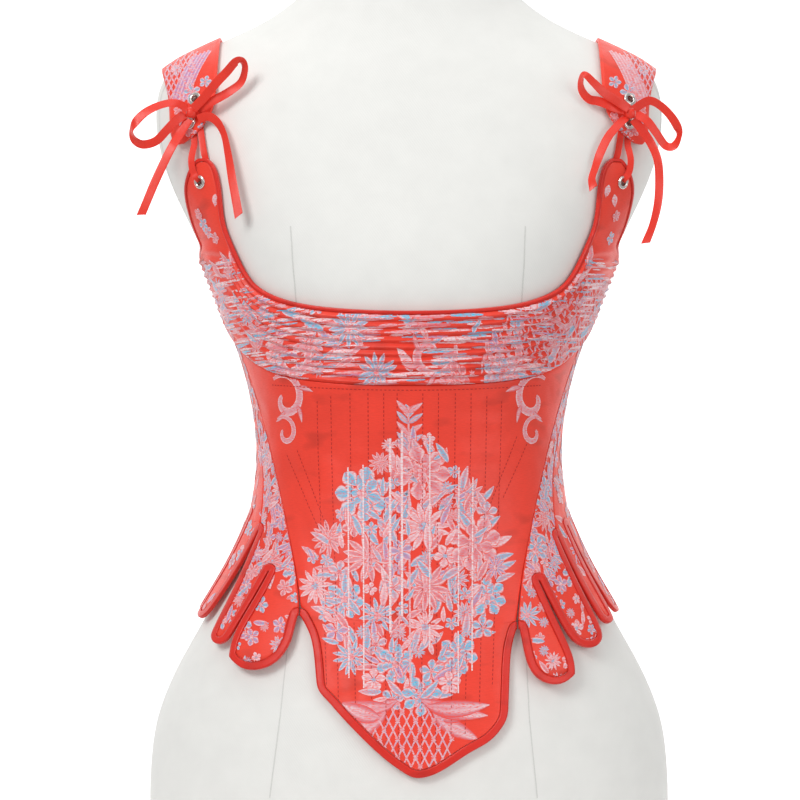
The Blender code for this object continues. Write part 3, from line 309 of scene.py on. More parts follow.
class Paint:
    """A material's nodes, built from short calls."""

    def __init__(self, name: str) -> None:
        """Starts a material with its one shader.

        Args:
            name: the material's name.
        """
        self.material = bpy.data.materials.new(name)
        self.material.use_nodes = True
        self.tree = self.material.node_tree
        self.shader = self.tree.nodes["Principled BSDF"]

    def node(self, kind: str, **settings: str) -> bpy.types.Node:
        """Adds a node.

        Args:
            kind: the node's type.
            settings: its own settings by name.

        Returns:
            The node.
        """
        made = self.tree.nodes.new(kind)
        for key, value in settings.items():
            setattr(made, key, value)
        return made

    def link(self, start: Socket, end: Socket) -> None:
        """Joins two sockets."""
        self.tree.links.new(start, end)

    def value(self, name: str, number: object) -> None:
        """Sets one of the shader's own values."""
        self.shader.inputs[name].default_value = number

    def threads(self, uv: bool, scale: Tuple[float, float, float]) -> Socket:
        """Stretched coordinates.

        Args:
            uv: whether they come from the cloth's own map, not from the object.
            scale: the stretch along each axis.

        Returns:
            The coordinates.
        """
        place = self.node("ShaderNodeTexCoord")
        mapping = self.node("ShaderNodeMapping")
        mapping.inputs["Scale"].default_value = scale
        self.link(place.outputs["UV" if uv else "Object"], mapping.inputs["Vector"])
        return mapping.outputs["Vector"]

    def noise(self, vector: Socket, scale: float, detail: float = 3.0) -> Socket:
        """A noise value.

        Args:
            vector: the coordinates.
            scale: how fine it is.
            detail: how many finer layers it has.

        Returns:
            The value, from 0 to 1.
        """
        made = self.node("ShaderNodeTexNoise")
        made.inputs["Scale"].default_value = scale
        made.inputs["Detail"].default_value = detail
        self.link(vector, made.inputs["Vector"])
        return made.outputs["Fac"]

    def wave(self, vector: Socket, scale: float, direction: str, distort: float) -> Socket:
        """Even stripes.

        Args:
            vector: the coordinates.
            scale: how close the stripes lie.
            direction: the axis across them.
            distort: how much they waver.

        Returns:
            The value, from 0 to 1.
        """
        made = self.node("ShaderNodeTexWave", bands_direction=direction)
        made.inputs["Scale"].default_value = scale
        made.inputs["Distortion"].default_value = distort
        self.link(vector, made.inputs["Vector"])
        return made.outputs["Fac"]

    def mapped(self, value: Socket, low: float, high: float, start: float, end: float) -> Socket:
        """A value carried from one range to another.

        Args:
            value: the value.
            low: bottom of its range.
            high: top of its range.
            start: what the bottom becomes.
            end: what the top becomes.

        Returns:
            The new value.
        """
        made = self.node("ShaderNodeMapRange")
        for name, number in (("From Min", low), ("From Max", high), ("To Min", start), ("To Max", end)):
            made.inputs[name].default_value = number
        self.link(value, made.inputs["Value"])
        return made.outputs["Result"]

    def blend(self, share: Socket, first: object, second: object, kind: str = "MIX") -> Socket:
        """A colour made of two.

        Args:
            share: how much of the second is in it.
            first: a colour or a socket.
            second: a colour or a socket.
            kind: how the second is laid on.

        Returns:
            The colour.
        """
        made = self.node("ShaderNodeMix", data_type="RGBA", blend_type=kind)
        colours = [socket for socket in made.inputs if socket.type == "RGBA"]
        for socket, value in zip(colours, (first, second)):
            if isinstance(value, Socket):
                self.link(value, socket)
            else:
                socket.default_value = (*value, 1.0)
        self.link(share, made.inputs[0])
        return next(socket for socket in made.outputs if socket.type == "RGBA")

    def bump(self, height: Socket, depth: float, strength: float, under: Optional[Socket] = None) -> Socket:
        """A bump.

        Args:
            height: its height, from 0 to 1.
            depth: what a height of 1 stands for, in metres.
            strength: its weight.
            under: a bump that it lies on.

        Returns:
            The bent normal.
        """
        made = self.node("ShaderNodeBump")
        made.inputs["Distance"].default_value = depth
        made.inputs["Strength"].default_value = strength
        self.link(height, made.inputs["Height"])
        if under is not None:
            self.link(under, made.inputs["Normal"])
        return made.outputs["Normal"]


@dataclass(frozen=True)
class SatinFinish:
    """Plain satin: fine floats, a soft sheen, light creases, and painted shade darkening its dimples."""

    name: str = "scarlet satin"
    colour: Colour = RED
    roughness: float = 0.36
    crease: float = 0.0012

    def build(self) -> bpy.types.Material:
        """Makes the finish.

        Returns:
            Its material.
        """
        paint = Paint(self.name)
        cloth = paint.threads(True, (1.0, 1.0, 1.0))
        floats = paint.wave(cloth, 420.0, "Y", 1.2)
        streak = paint.noise(paint.threads(True, (260.0, 1900.0, 1.0)), 1.0, 2.0)
        soft = paint.noise(cloth, 26.0, 2.0)
        dark = faded(self.colour, 0.90)
        tone = paint.blend(paint.mapped(soft, 0.3, 0.7, 0.0, 1.0), dark, self.colour)
        tone = paint.blend(paint.mapped(streak, 0.35, 0.65, 0.0, 0.22), tone, faded(self.colour, 0.66))
        # Dimples: one noise both bumps the cloth and darkens its colour to half, a painted shade in the
        # dimples.
        dimple_and_shade = paint.noise(paint.threads(True, (34.0, 72.0, 1.0)), 1.0, 1.0)
        tone = paint.blend(paint.mapped(dimple_and_shade, 0.60, 0.74, 0.0, 0.45), tone, faded(self.colour, 0.50))
        paint.link(tone, paint.shader.inputs["Base Color"])
        rough = paint.mapped(streak, 0.3, 0.7, self.roughness - 0.05, self.roughness + 0.10)
        paint.link(rough, paint.shader.inputs["Roughness"])
        paint.value("Specular IOR Level", 0.42)
        paint.value("Sheen Weight", 0.06)
        paint.value("Sheen Roughness", 0.45)
        paint.value("Sheen Tint", (1.0, 0.45, 0.38, 1.0))
        creases = paint.bump(dimple_and_shade, self.crease * 0.6, 0.8, paint.bump(soft, self.crease * 2.2, 0.9))
        paint.link(paint.bump(floats, 0.00006, 0.5, creases), paint.shader.inputs["Normal"])
        return paint.material


@dataclass(frozen=True)
class WeftFinish:
    """Woven flowers: the tint of each float, broken by threads of the red ground."""

    name: str = "flower wefts"
    roughness: float = 0.46

    def build(self) -> bpy.types.Material:
        """Makes the finish.

        Returns:
            Its material.
        """
        paint = Paint(self.name)
        tint = paint.node("ShaderNodeVertexColor", layer_name="tint").outputs["Color"]
        fine = paint.threads(True, (1.0, 1.0, 1.0))
        lines = paint.wave(fine, 330.0, "Y", 2.2)
        breaks = paint.noise(paint.threads(True, (420.0, 1500.0, 1.0)), 1.0, 3.0)
        ground = paint.mapped(breaks, 0.50, 0.62, 0.0, 0.72)
        shade = paint.blend(paint.mapped(lines, 0.2, 0.8, 0.34, 0.0), tint, (0.62, 0.30, 0.36), "MULTIPLY")
        tone = paint.blend(ground, shade, RED)
        paint.link(tone, paint.shader.inputs["Base Color"])
        paint.value("Roughness", self.roughness)
        paint.value("Sheen Weight", 0.15)
        paint.link(paint.bump(lines, 0.00012, 0.6), paint.shader.inputs["Normal"])
        return paint.material


@dataclass(frozen=True)
class TwillFinish:
    """The form's off-white twill over padding."""

    name: str = "form twill"
    colour: Colour = (0.85, 0.85, 0.82)

    def build(self) -> bpy.types.Material:
        """Makes the finish.

        Returns:
            Its material.
        """
        paint = Paint(self.name)
        ribs = paint.wave(paint.threads(True, (1.0, 0.7, 1.0)), 330.0, "DIAGONAL", 0.6)
        mottle = paint.noise(paint.threads(False, (1.0, 1.0, 1.0)), 55.0, 5.0)
        tone = paint.blend(paint.mapped(mottle, 0.3, 0.7, 0.0, 1.0), faded(self.colour, 0.965), self.colour)
        paint.link(tone, paint.shader.inputs["Base Color"])
        paint.value("Roughness", 0.86)
        paint.value("Sheen Weight", 0.1)
        padding = paint.bump(mottle, 0.0005, 0.25)
        paint.link(paint.bump(ribs, 0.00005, 0.35, padding), paint.shader.inputs["Normal"])
        return paint.material


@dataclass(frozen=True)
class PlainFinish:
    """One even surface with a fine grain: thread, nickel, the floor."""

    name: str
    colour: Colour
    roughness: float
    metallic: float = 0.0
    grain: float = 900.0
    glow: float = 0.0

    def build(self) -> bpy.types.Material:
        """Makes the finish.

        Returns:
            Its material.
        """
        paint = Paint(self.name)
        grain = paint.noise(paint.threads(False, (1.0, 1.0, 1.0)), self.grain, 2.0)
        tone = paint.blend(paint.mapped(grain, 0.3, 0.7, 0.0, 1.0), faded(self.colour, 0.93), self.colour)
        paint.link(tone, paint.shader.inputs["Base Color"])
        paint.value("Roughness", self.roughness)
        paint.value("Metallic", self.metallic)
        if self.glow:
            paint.value("Emission Color", (1.0, 1.0, 1.0, 1.0))
            paint.value("Emission Strength", self.glow)
        return paint.material


@dataclass
class Wardrobe:
    """Every finish's material, built once."""

    satin: bpy.types.Material = field(default_factory=lambda: SatinFinish().build())
    trim: bpy.types.Material = field(
        default_factory=lambda: SatinFinish("satin binding cloth", SATIN_RED, 0.32, 0.0006).build()
    )
    ribbon: bpy.types.Material = field(
        default_factory=lambda: SatinFinish("ribbon satin", RIBBON_RED, 0.30, 0.0003).build()
    )
    flowers: bpy.types.Material = field(default_factory=lambda: WeftFinish().build())
    twill: bpy.types.Material = field(default_factory=lambda: TwillFinish().build())
    thread: bpy.types.Material = field(
        default_factory=lambda: PlainFinish("red thread", (0.50, 0.012, 0.008), 0.55).build()
    )
    seam: bpy.types.Material = field(
        default_factory=lambda: PlainFinish("form seam cloth", (0.72, 0.72, 0.69), 0.8).build()
    )
    nickel: bpy.types.Material = field(
        default_factory=lambda: PlainFinish("nickel", (0.78, 0.76, 0.73), 0.22, 1.0, 260.0).build()
    )


def object_from(name: str, mesh: bpy.types.Mesh, material: bpy.types.Material) -> Piece:
    """A shown object of one material.

    Args:
        name: the piece's name.
        mesh: its mesh, in the row frame.
        material: its finish.

    Returns:
        The linked object.
    """
    mesh.materials.clear()
    mesh.materials.append(material)
    made = bpy.data.objects.new(name, mesh)
    bpy.context.scene.collection.objects.link(made)
    for polygon in mesh.polygons:
        polygon.use_smooth = True
    return made


def mesh_points(mesh: bpy.types.Mesh) -> Grid:
    """A mesh's points as rows of x, y and height."""
    flat = np.empty(3 * len(mesh.vertices))
    mesh.vertices.foreach_get("co", flat)
    return flat.reshape(-1, 3)


def write_map(mesh: bpy.types.Mesh, places: Grid) -> None:
    """Writes a map of the cloth, in metres along its threads.

    Args:
        mesh: the cloth.
        places: each point's place round and up.
    """
    layer = mesh.uv_layers.new(name="cloth")
    corners = np.empty(len(mesh.loops), dtype=np.int64)
    mesh.loops.foreach_get("vertex_index", corners)
    layer.data.foreach_set("uv", places[corners].astype(np.float32).ravel())


def body_map(points: Grid) -> Grid:
    """Places round the form and up it."""
    return np.stack([SHAPE.arcs_of(points), points[:, 2]], axis=1)


def shoulder_map(points: Grid) -> Grid:
    """Places across a strap and along it over the shoulder."""
    turn = np.arctan2(points[:, 2] - STRAP_PIVOT_HEIGHT, FORM_MIDDLE_Y - points[:, 1])
    turn = np.where(turn < -1.0, turn + 2 * np.pi, turn)
    return np.stack([points[:, 0], turn * STRAP_RADIUS], axis=1)


def grid_mesh(name: str, rings: Sequence[Sequence[Vector]], closed: bool) -> bpy.types.Mesh:
    """A tube or strip through rings of points, with capped ends when its rings close.

    Args:
        name: the mesh's name.
        rings: the rings' points in order.
        closed: whether each ring closes on itself.

    Returns:
        The mesh, with a map along and across in metres.
    """
    count = len(rings[0])
    faces = []
    span = count if closed else count - 1
    for r in range(len(rings) - 1):
        for c in range(span):
            d = (c + 1) % count
            faces.append((r * count + c, r * count + d, (r + 1) * count + d, (r + 1) * count + c))
    if closed:
        faces.append(tuple(reversed(range(count))))
        faces.append(tuple((len(rings) - 1) * count + c for c in range(count)))
    mesh = bpy.data.meshes.new(name)
    mesh.from_pydata([tuple(p) for ring in rings for p in ring], [], faces)
    middles = [sum(ring, Vector()) / count for ring in rings]
    run = [0.0]
    for a, b in zip(middles, middles[1:]):
        run.append(run[-1] + (b - a).length)
    across = [0.0]
    for a, b in zip(rings[0], rings[0][1:]):
        across.append(across[-1] + (b - a).length)
    layer = mesh.uv_layers.new(name="cloth")
    for loop in mesh.loops:
        r, c = divmod(loop.vertex_index, count)
        layer.data[loop.index].uv = (across[c], run[r])
    return mesh


def smooth_route(rows: Sequence[Sequence[float]], steps: int) -> List[Tuple[Vector, float]]:
    """Points and tilts on a smooth curve through a route's rows.

    Args:
        rows: x, y, height and tilt of each place.
        steps: points for each stretch.

    Returns:
        The curve's points, each with its tilt in degrees.
    """
    data = [np.array(row, dtype=float) for row in rows]
    data = [2 * data[0] - data[1]] + data + [2 * data[-1] - data[-2]]
    found = []
    for i in range(1, len(data) - 2):
        a, b, c, d = data[i - 1:i + 3]
        for k in range(steps):
            t = k / steps
            value = 0.5 * (2 * b + (c - a) * t + (2 * a - 5 * b + 4 * c - d) * t * t
                           + (3 * b - a - 3 * c + d) * t ** 3)
            found.append((Vector(value[:3]), float(value[3])))
    found.append((Vector(data[-2][:3]), float(data[-2][3])))
    return found


@dataclass
class Refiner:
    """Makes fine pieces from the solids' own faces."""

    nodes: Dict[str, Piece]
    sharp: float = math.radians(48)
    crease: float = 0.8
    flat_angle: float = 0.9
    skew_angle: float = 1.2

    def swollen(self, body: bmesh.types.BMesh) -> None:
        """Pushes the crests of the band's cords out, so that rounding leaves them standing.

        Args:
            body: the band before its faces are divided.
        """
        places = np.array([tuple(v.co) for v in body.verts])
        lifts = SHAPE.lifts_of(places)
        out = SHAPE.outward(SHAPE.turns_of(places), places[:, 2])
        for vert, lift, way in zip(body.verts, lifts, out):
            if lift > CLEAR + BAND_CLOTH + CORD_RISE / 2:
                vert.co += Vector(way) * CORD_PUSH

    def piece(
        self,
        node: str,
        name: str,
        levels: int,
        material: bpy.types.Material,
        mapping: Callable[[Grid], Grid] = body_map,
        corded: bool = False,
    ) -> Piece:
        """A fine copy of a node that stands for it.

        Args:
            node: the CAD node.
            name: the new piece's name.
            levels: how often each face is divided.
            material: the finish.
            mapping: gives the cloth's own map.
            corded: whether the cords' crests are pushed out first.

        Returns:
            The piece, riding on the root body.
        """
        body = bmesh.new()
        body.from_mesh(self.nodes[node].data)
        bmesh.ops.remove_doubles(body, verts=body.verts, dist=1e-6)
        bmesh.ops.join_triangles(
            body,
            faces=body.faces[:],
            angle_face_threshold=self.flat_angle,
            angle_shape_threshold=self.skew_angle,
        )
        if corded:
            self.swollen(body)
        crease = body.edges.layers.float.new("crease_edge")
        for edge in body.edges:
            if edge.calc_face_angle(0.0) > self.sharp:
                edge[crease] = self.crease
        mesh = bpy.data.meshes.new(name + "_coarse")
        body.to_mesh(mesh)
        body.free()
        rough = bpy.data.objects.new(name + "_coarse", mesh)
        bpy.context.scene.collection.objects.link(rough)
        divider = rough.modifiers.new("fine", "SUBSURF")
        divider.levels = levels
        divider.render_levels = levels
        graph = bpy.context.evaluated_depsgraph_get()
        fine = bpy.data.meshes.new_from_object(rough.evaluated_get(graph))
        bpy.data.objects.remove(rough)
        fine.name = name
        while fine.uv_layers:
            fine.uv_layers.remove(fine.uv_layers[0])
        write_map(fine, mapping(mesh_points(fine)))
        made = object_from(name, fine, material)
        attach(made, "root")
        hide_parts(node)
        LOG.info("%s: %d faces", name, len(fine.polygons))
        return made


# Routes of the bows' loops and tails: x, y, height and tilt in degrees of each place.
RIBBONS: Dict[str, Tuple[Tuple[float, ...], ...]] = {
    "bow_loop_out_L": (
        (-0.1576, -0.0826, 0.5749, 20.0), (-0.1660, -0.0875, 0.5782, 30.0),
        (-0.1760, -0.0900, 0.5765, 30.0), (-0.1860, -0.0920, 0.5715, 20.0),
        (-0.1930, -0.0925, 0.5650, 15.0), (-0.1968, -0.0900, 0.5585, 60.0),
        (-0.1950, -0.0865, 0.5520, 35.0), (-0.1890, -0.0840, 0.5490, 20.0),
        (-0.1800, -0.0835, 0.5515, 20.0), (-0.1725, -0.0835, 0.5590, 20.0),
        (-0.1655, -0.0825, 0.5665, 15.0), (-0.1598, -0.0804, 0.5711, 15.0),
    ),
    "bow_loop_in_L": (
        (-0.1536, -0.0845, 0.5742, 4.0), (-0.1450, -0.0889, 0.5824, 4.0),
        (-0.1370, -0.0925, 0.5914, 10.0), (-0.1290, -0.0937, 0.5996, 20.0),
        (-0.1225, -0.0958, 0.6065, 34.0), (-0.1180, -0.0915, 0.6070, 50.0),
        (-0.1165, -0.0880, 0.6022, 44.0), (-0.1195, -0.0857, 0.5930, 30.0),
        (-0.1275, -0.0860, 0.5865, 16.0), (-0.1370, -0.0870, 0.5809, 6.0),
        (-0.1455, -0.0850, 0.5765, 0.0), (-0.1512, -0.0806, 0.5735, -10.0),
    ),
    "bow_tail_out_L": (
        (-0.1567, -0.0789, 0.5676, 10.0), (-0.1630, -0.0810, 0.5570, 10.0),
        (-0.1680, -0.0860, 0.5480, 15.0), (-0.1745, -0.0865, 0.5350, 10.0),
        (-0.1810, -0.0860, 0.5210, 10.0), (-0.1865, -0.0850, 0.5080, 15.0),
        (-0.1905, -0.0835, 0.4990, 15.0),
    ),
    "bow_tail_in_L": (
        (-0.1503, -0.0808, 0.5673, 15.0), (-0.1430, -0.0836, 0.5690, 15.0),
        (-0.1365, -0.0860, 0.5650, 30.0), (-0.1315, -0.0895, 0.5560, 45.0),
        (-0.1280, -0.0955, 0.5410, 35.0), (-0.1250, -0.1000, 0.5240, 20.0),
        (-0.1220, -0.1035, 0.5080, 15.0), (-0.1200, -0.1050, 0.4970, 10.0),
    ),
    "bow_loop_in_R": (
        (0.1557, -0.0843, 0.5745, 12.0), (0.1460, -0.0884, 0.5802, -4.0),
        (0.1380, -0.0912, 0.5849, 8.0), (0.1300, -0.0948, 0.5920, 26.0),
        (0.1240, -0.0958, 0.5973, 40.0), (0.1215, -0.0912, 0.5938, 58.0),
        (0.1225, -0.0874, 0.5869, 40.0), (0.1275, -0.0862, 0.5811, 24.0),
        (0.1350, -0.0852, 0.5794, 2.0), (0.1440, -0.0848, 0.5759, -6.0),
        (0.1536, -0.0803, 0.5733, -18.0),
    ),
    "bow_loop_out_R": (
        (0.1598, -0.0823, 0.5742, 20.0), (0.1690, -0.0880, 0.5795, 25.0),
        (0.1765, -0.0890, 0.5770, 35.0), (0.1840, -0.0900, 0.5700, 30.0),
        (0.1895, -0.0890, 0.5620, 25.0), (0.1915, -0.0860, 0.5550, 60.0),
        (0.1880, -0.0835, 0.5480, 30.0), (0.1820, -0.0820, 0.5485, 20.0),
        (0.1755, -0.0845, 0.5570, 20.0), (0.1690, -0.0850, 0.5655, 15.0),
        (0.1618, -0.0818, 0.5708, 15.0),
    ),
    "bow_tail_in_R": (
        (0.1540, -0.0799, 0.5685, 25.0), (0.1475, -0.0840, 0.5620, 25.0),
        (0.1410, -0.0870, 0.5540, 20.0), (0.1355, -0.0900, 0.5430, 20.0),
        (0.1315, -0.0930, 0.5320, 40.0), (0.1290, -0.0950, 0.5240, 40.0),
        (0.1300, -0.0965, 0.5170, 15.0),
    ),
    "bow_tail_out_R": (
        (0.1594, -0.0794, 0.5675, 10.0), (0.1665, -0.0795, 0.5585, 15.0),
        (0.1725, -0.0805, 0.5490, 25.0), (0.1765, -0.0850, 0.5370, 30.0),
        (0.1775, -0.0850, 0.5220, 25.0), (0.1765, -0.0845, 0.5070, 30.0),
        (0.1730, -0.0835, 0.4920, 40.0), (0.1680, -0.0820, 0.4790, 30.0),
    ),
}

# Routes of the strands, from the tab's eyelet up under the strap's end: sideways distance,
# height and how far each place stands off the form.
LACES: Dict[str, Tuple[Tuple[float, float, float], ...]] = {
    "lace_front": (
        (0.1476, 0.5244, 0.0030), (0.1480, 0.5268, 0.0054), (0.1496, 0.5298, 0.0062),
        (0.1506, 0.5340, 0.0068), (0.1512, 0.5395, 0.0066), (0.1516, 0.5445, 0.0046),
        (0.1520, 0.5495, 0.0024), (0.1526, 0.5560, 0.0018), (0.1530, 0.5620, 0.0017),
    ),
    "lace_behind": (
        (0.1440, 0.5340, 0.0007), (0.1445, 0.5390, 0.0008), (0.1452, 0.5430, 0.0016),
        (0.1462, 0.5490, 0.0018), (0.1474, 0.5560, 0.0017), (0.1484, 0.5620, 0.0016),
    ),
}
# How much further out the strands stand on each side.
LACE_SHIFT = {Side.L: 0.0, Side.R: 0.0025}

# Middle of each knot, and a knot's size.
KNOTS = {Side.L: (-0.1550, -0.0795, 0.5720), Side.R: (0.1572, -0.0792, 0.5715)}
KNOT_SIZE = (0.0080, 0.0090, 0.0080)


@dataclass
class RibbonWork:
    """The satin ribbons that tie the straps to the band: bows, knots and laces."""

    material: bpy.types.Material
    thickness: float = RIBBON_THICK
    across: int = 9
    steps: int = 8
    slant: float = 0.0016
    squareness: float = 2.6

    def strip(self, name: str, rows: Sequence[Sequence[float]], width: float) -> Tuple[Piece, List[Vector]]:
        """A ribbon along a route, thin at its woven edges.

        Args:
            name: the piece's name, also the CAD node that it stands for.
            rows: x, y, height and tilt of each place.
            width: the ribbon's width.

        Returns:
            The piece and the points of its centreline.
        """
        places = smooth_route(rows, self.steps)
        line = [place for place, _ in places]
        rings = []
        for number, (here, tilt) in enumerate(places):
            after, before = line[min(number + 1, len(line) - 1)], line[max(number - 1, 0)]
            along = (after - before).normalized()
            level = along.cross(Vector((0.0, -1.0, 0.0))).normalized()
            side = Matrix.Rotation(math.radians(tilt), 3, along) @ level
            up = along.cross(side).normalized()
            shares = np.linspace(-1.0, 1.0, self.across)
            half = [self.thickness / 2 * (1 - 0.45 * abs(share) ** 6) for share in shares]
            below = [here + side * (share * width / 2) - up * high for share, high in zip(shares, half)]
            above = [here + side * (share * width / 2) + up * high for share, high in zip(shares, half)]
            if number == len(places) - 1:
                slant = [along * (share * self.slant) for share in shares]
                below = [point + move for point, move in zip(below, slant)]
                above = [point + move for point, move in zip(above, slant)]
            rings.append(below + above[::-1])
        made = object_from(name + "_satin", grid_mesh(name + "_satin", rings, True), self.material)
        made.data.set_sharp_from_angle(angle=math.radians(50))
        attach(made, "root")
        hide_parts(name)
        return made, line

    def bows(self) -> None:
        """The loops and tails."""
        for name, rows in RIBBONS.items():
            made, line = self.strip(name, rows, RIBBON_WIDTH)

    def laces(self) -> None:
        """The strands between a tab's eyelet and the strap."""
        for side, shift in LACE_SHIFT.items():
            for place, route in LACES.items():
                rows = []
                for x, height, lift in route:
                    tall = np.array([height])
                    half_width, _, _, square = [float(v[0]) for v in SHAPE.sections(tall)]
                    turn = math.degrees(math.asin(((x + shift) / half_width) ** (square / 2)))
                    turns = np.array([side.value * turn])
                    rows.append((*(SHAPE.points(turns, tall) + SHAPE.outward(turns, tall) * lift)[0], 0.0))
                self.strip(place + "_" + side.name, rows, LACE_WIDTH)

    def knots(self, around: int = 40, rings: int = 26) -> None:
        """Each bow's knot: a soft block, pleated where the ribbon wraps it.

        Args:
            around: points round it.
            rings: rings from end to end.
        """
        for side, centre in KNOTS.items():
            rows = []
            for r in range(1, rings):
                latitude = math.pi * (r / rings - 0.5)
                row = []
                for c in range(around):
                    turn = 2 * math.pi * c / around
                    way = Vector((math.cos(latitude) * math.cos(turn), math.cos(latitude) * math.sin(turn),
                                  math.sin(latitude)))
                    soft = sum(abs(part) ** self.squareness for part in way) ** (-1 / self.squareness)
                    pleat = 1 - 0.05 * (0.5 + 0.5 * math.cos(5.0 * math.pi * way.x + 1.2 * way.z))
                    reach = [part * soft * pleat * size / 2 for part, size in zip(way, KNOT_SIZE)]
                    row.append(Vector(centre) + Vector(reach))
                rows.append(row)
            name = "bow_knot_" + side.name
            made = object_from(name + "_satin", grid_mesh(name + "_satin", rows, True), self.material)
            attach(made, "root")
            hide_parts(name)


@dataclass
class EyeletWork:
    """Rolled nickel eyelets, turned on the axes of the solids."""

    nodes: Dict[str, Piece]
    material: bpy.types.Material
    outer: float = 0.0050
    bore: float = 0.0024
    barrel: float = 0.0030
    roll: float = 0.0011
    segments: int = 48

    def make(self, node: str) -> Piece:
        """One eyelet.

        Args:
            node: the CAD node that it stands for.

        Returns:
            The piece.
        """
        places = mesh_points(self.nodes[node].data)
        middle = places.mean(axis=0)
        axis = Vector(np.linalg.svd(places - middle)[2][2])
        away = Vector((middle[0], middle[1] - FORM_MIDDLE_Y, 0.0))
        if axis.dot(away) < 0:
            axis = -axis
        side = axis.orthogonal().normalized()
        other = axis.cross(side)
        reach = (places - middle) @ np.array(axis)
        top, bottom = float(reach.max()), float(reach.min())
        wide = places[reach > top - self.roll * 1.5]
        rim = wide.mean(axis=0)
        centre = Vector(rim) - axis * float((rim - middle) @ np.array(axis))
        spread = (self.outer - self.bore) / 2
        profile = [(self.bore, bottom)]
        for step in range(9):
            turn = math.pi * step / 8
            out = spread * (1 - math.cos(turn))
            profile.append((self.bore + out, top - self.roll + self.roll * math.sin(turn)))
        profile += [(self.barrel, top - self.roll * 1.05), (self.barrel, bottom)]
        rings = []
        for radius, height in profile + profile[:1]:
            ring = []
            for c in range(self.segments):
                turn = 2 * math.pi * c / self.segments
                way = side * math.cos(turn) + other * math.sin(turn)
                ring.append(centre + axis * height + way * radius)
            rings.append(ring)
        body = bmesh.new()
        grid = [[body.verts.new(point) for point in ring] for ring in rings[:-1]]
        for r in range(len(grid)):
            after = grid[(r + 1) % len(grid)]
            for c in range(self.segments):
                d = (c + 1) % self.segments
                body.faces.new((grid[r][c], after[c], after[d], grid[r][d]))
        bmesh.ops.recalc_face_normals(body, faces=body.faces[:])
        mesh = bpy.data.meshes.new(node + "_nickel")
        body.to_mesh(mesh)
        body.free()
        made = object_from(node + "_nickel", mesh, self.material)
        made.data.set_sharp_from_angle(angle=math.radians(50))
        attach(made, "root")
        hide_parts(node)
        return made


@dataclass(frozen=True)
class Sight:
    """The photo's viewpoint, and where its pixels fall on the form."""

    place: Tuple[float, float, float] = (-0.0066, -2.21, 0.3675)
    lens: float = 134.7
    middle_x: float = 409.0
    middle_y: float = 400.0
    metres_per_pixel: float = 0.000735
    standoff: float = 2.2

    def on_form(self, x_pixel: float, y_pixel: float) -> Place:
        """The place on the form that a pixel shows.

        Args:
            x_pixel: pixels from the left.
            y_pixel: pixels from the top.

        Returns:
            Distance round the form and height.
        """
        depth = -0.105
        for _ in range(6):
            scale = self.metres_per_pixel * (self.standoff + depth) / self.standoff
            x, height = (x_pixel - self.middle_x) * scale, self.place[2] + (self.middle_y - y_pixel) * scale
            half_width, _, _, square = [float(v[0]) for v in SHAPE.sections(np.array([height]))]
            turn = math.degrees(math.asin(min(abs(x) / half_width, 0.9995) ** (square / 2)))
            point = SHAPE.points(np.array([turn]), np.array([height]))
            depth = float(point[0, 1])
        return math.copysign(float(SHAPE.arcs_of(point)[0]), x), height

    def flat(self, x_pixel: float, y_pixel: float, depth: float = -0.085) -> Place:
        """The place that a pixel shows on an upright plane.

        Args:
            x_pixel: pixels from the left.
            y_pixel: pixels from the top.
            depth: y of the plane.

        Returns:
            Sideways distance and height.
        """
        scale = self.metres_per_pixel * (self.standoff + depth) / self.standoff
        return (x_pixel - self.middle_x) * scale, self.place[2] + (self.middle_y - y_pixel) * scale

    def camera(self) -> None:
        """The scene's camera."""
        data = bpy.data.cameras.new("photo view")
        data.lens = self.lens
        data.sensor_width = 36.0
        made = bpy.data.objects.new("photo view", data)
        made.location = self.place
        made.rotation_euler = (math.pi / 2, 0.0, 0.0)
        bpy.context.scene.collection.objects.link(made)
        bpy.context.scene.camera = made


@dataclass
class Laying:
    """How a cloth is reached by what is woven on it."""

    target: Piece
    wraps: bool = True
    reach: float = 0.022
    tree: BVHTree = field(init=False)

    def __post_init__(self) -> None:
        """Indexes the cloth's faces."""
        mesh = self.target.data
        faces = [tuple(face.vertices) for face in mesh.polygons]
        self.tree = BVHTree.FromPolygons([vertex.co for vertex in mesh.vertices], faces)

    def laid(self, places: Grid, lifts: Grid) -> Tuple[Grid, Grid]:
        """Points on the cloth for places on its map.

        Args:
            places: distance round the form and height, or x and height on a strap.
            lifts: how far each stands off the cloth.

        Returns:
            The points, and which of them met the cloth.
        """
        if self.wraps:
            turns = SHAPE.turns_at(places[:, 0], places[:, 1])
            out = SHAPE.outward(turns, places[:, 1])
            starts = SHAPE.points(turns, places[:, 1]) + out * self.reach
        else:
            out = np.tile([0.0, -1.0, 0.0], (len(places), 1))
            starts = np.stack([places[:, 0], np.full(len(places), -0.2), places[:, 1]], axis=1)
        limit = self.reach * 1.5 if self.wraps else 0.2
        points, met = np.zeros((len(places), 3)), np.zeros(len(places), dtype=bool)
        for number, (start, way, lift) in enumerate(zip(starts, out, lifts)):
            spot, normal, _, _ = self.tree.ray_cast(Vector(start), -Vector(way), limit)
            if spot is not None and normal.dot(Vector(way)) > 0.2:
                points[number] = spot + normal * lift
                met[number] = True
        return points, met


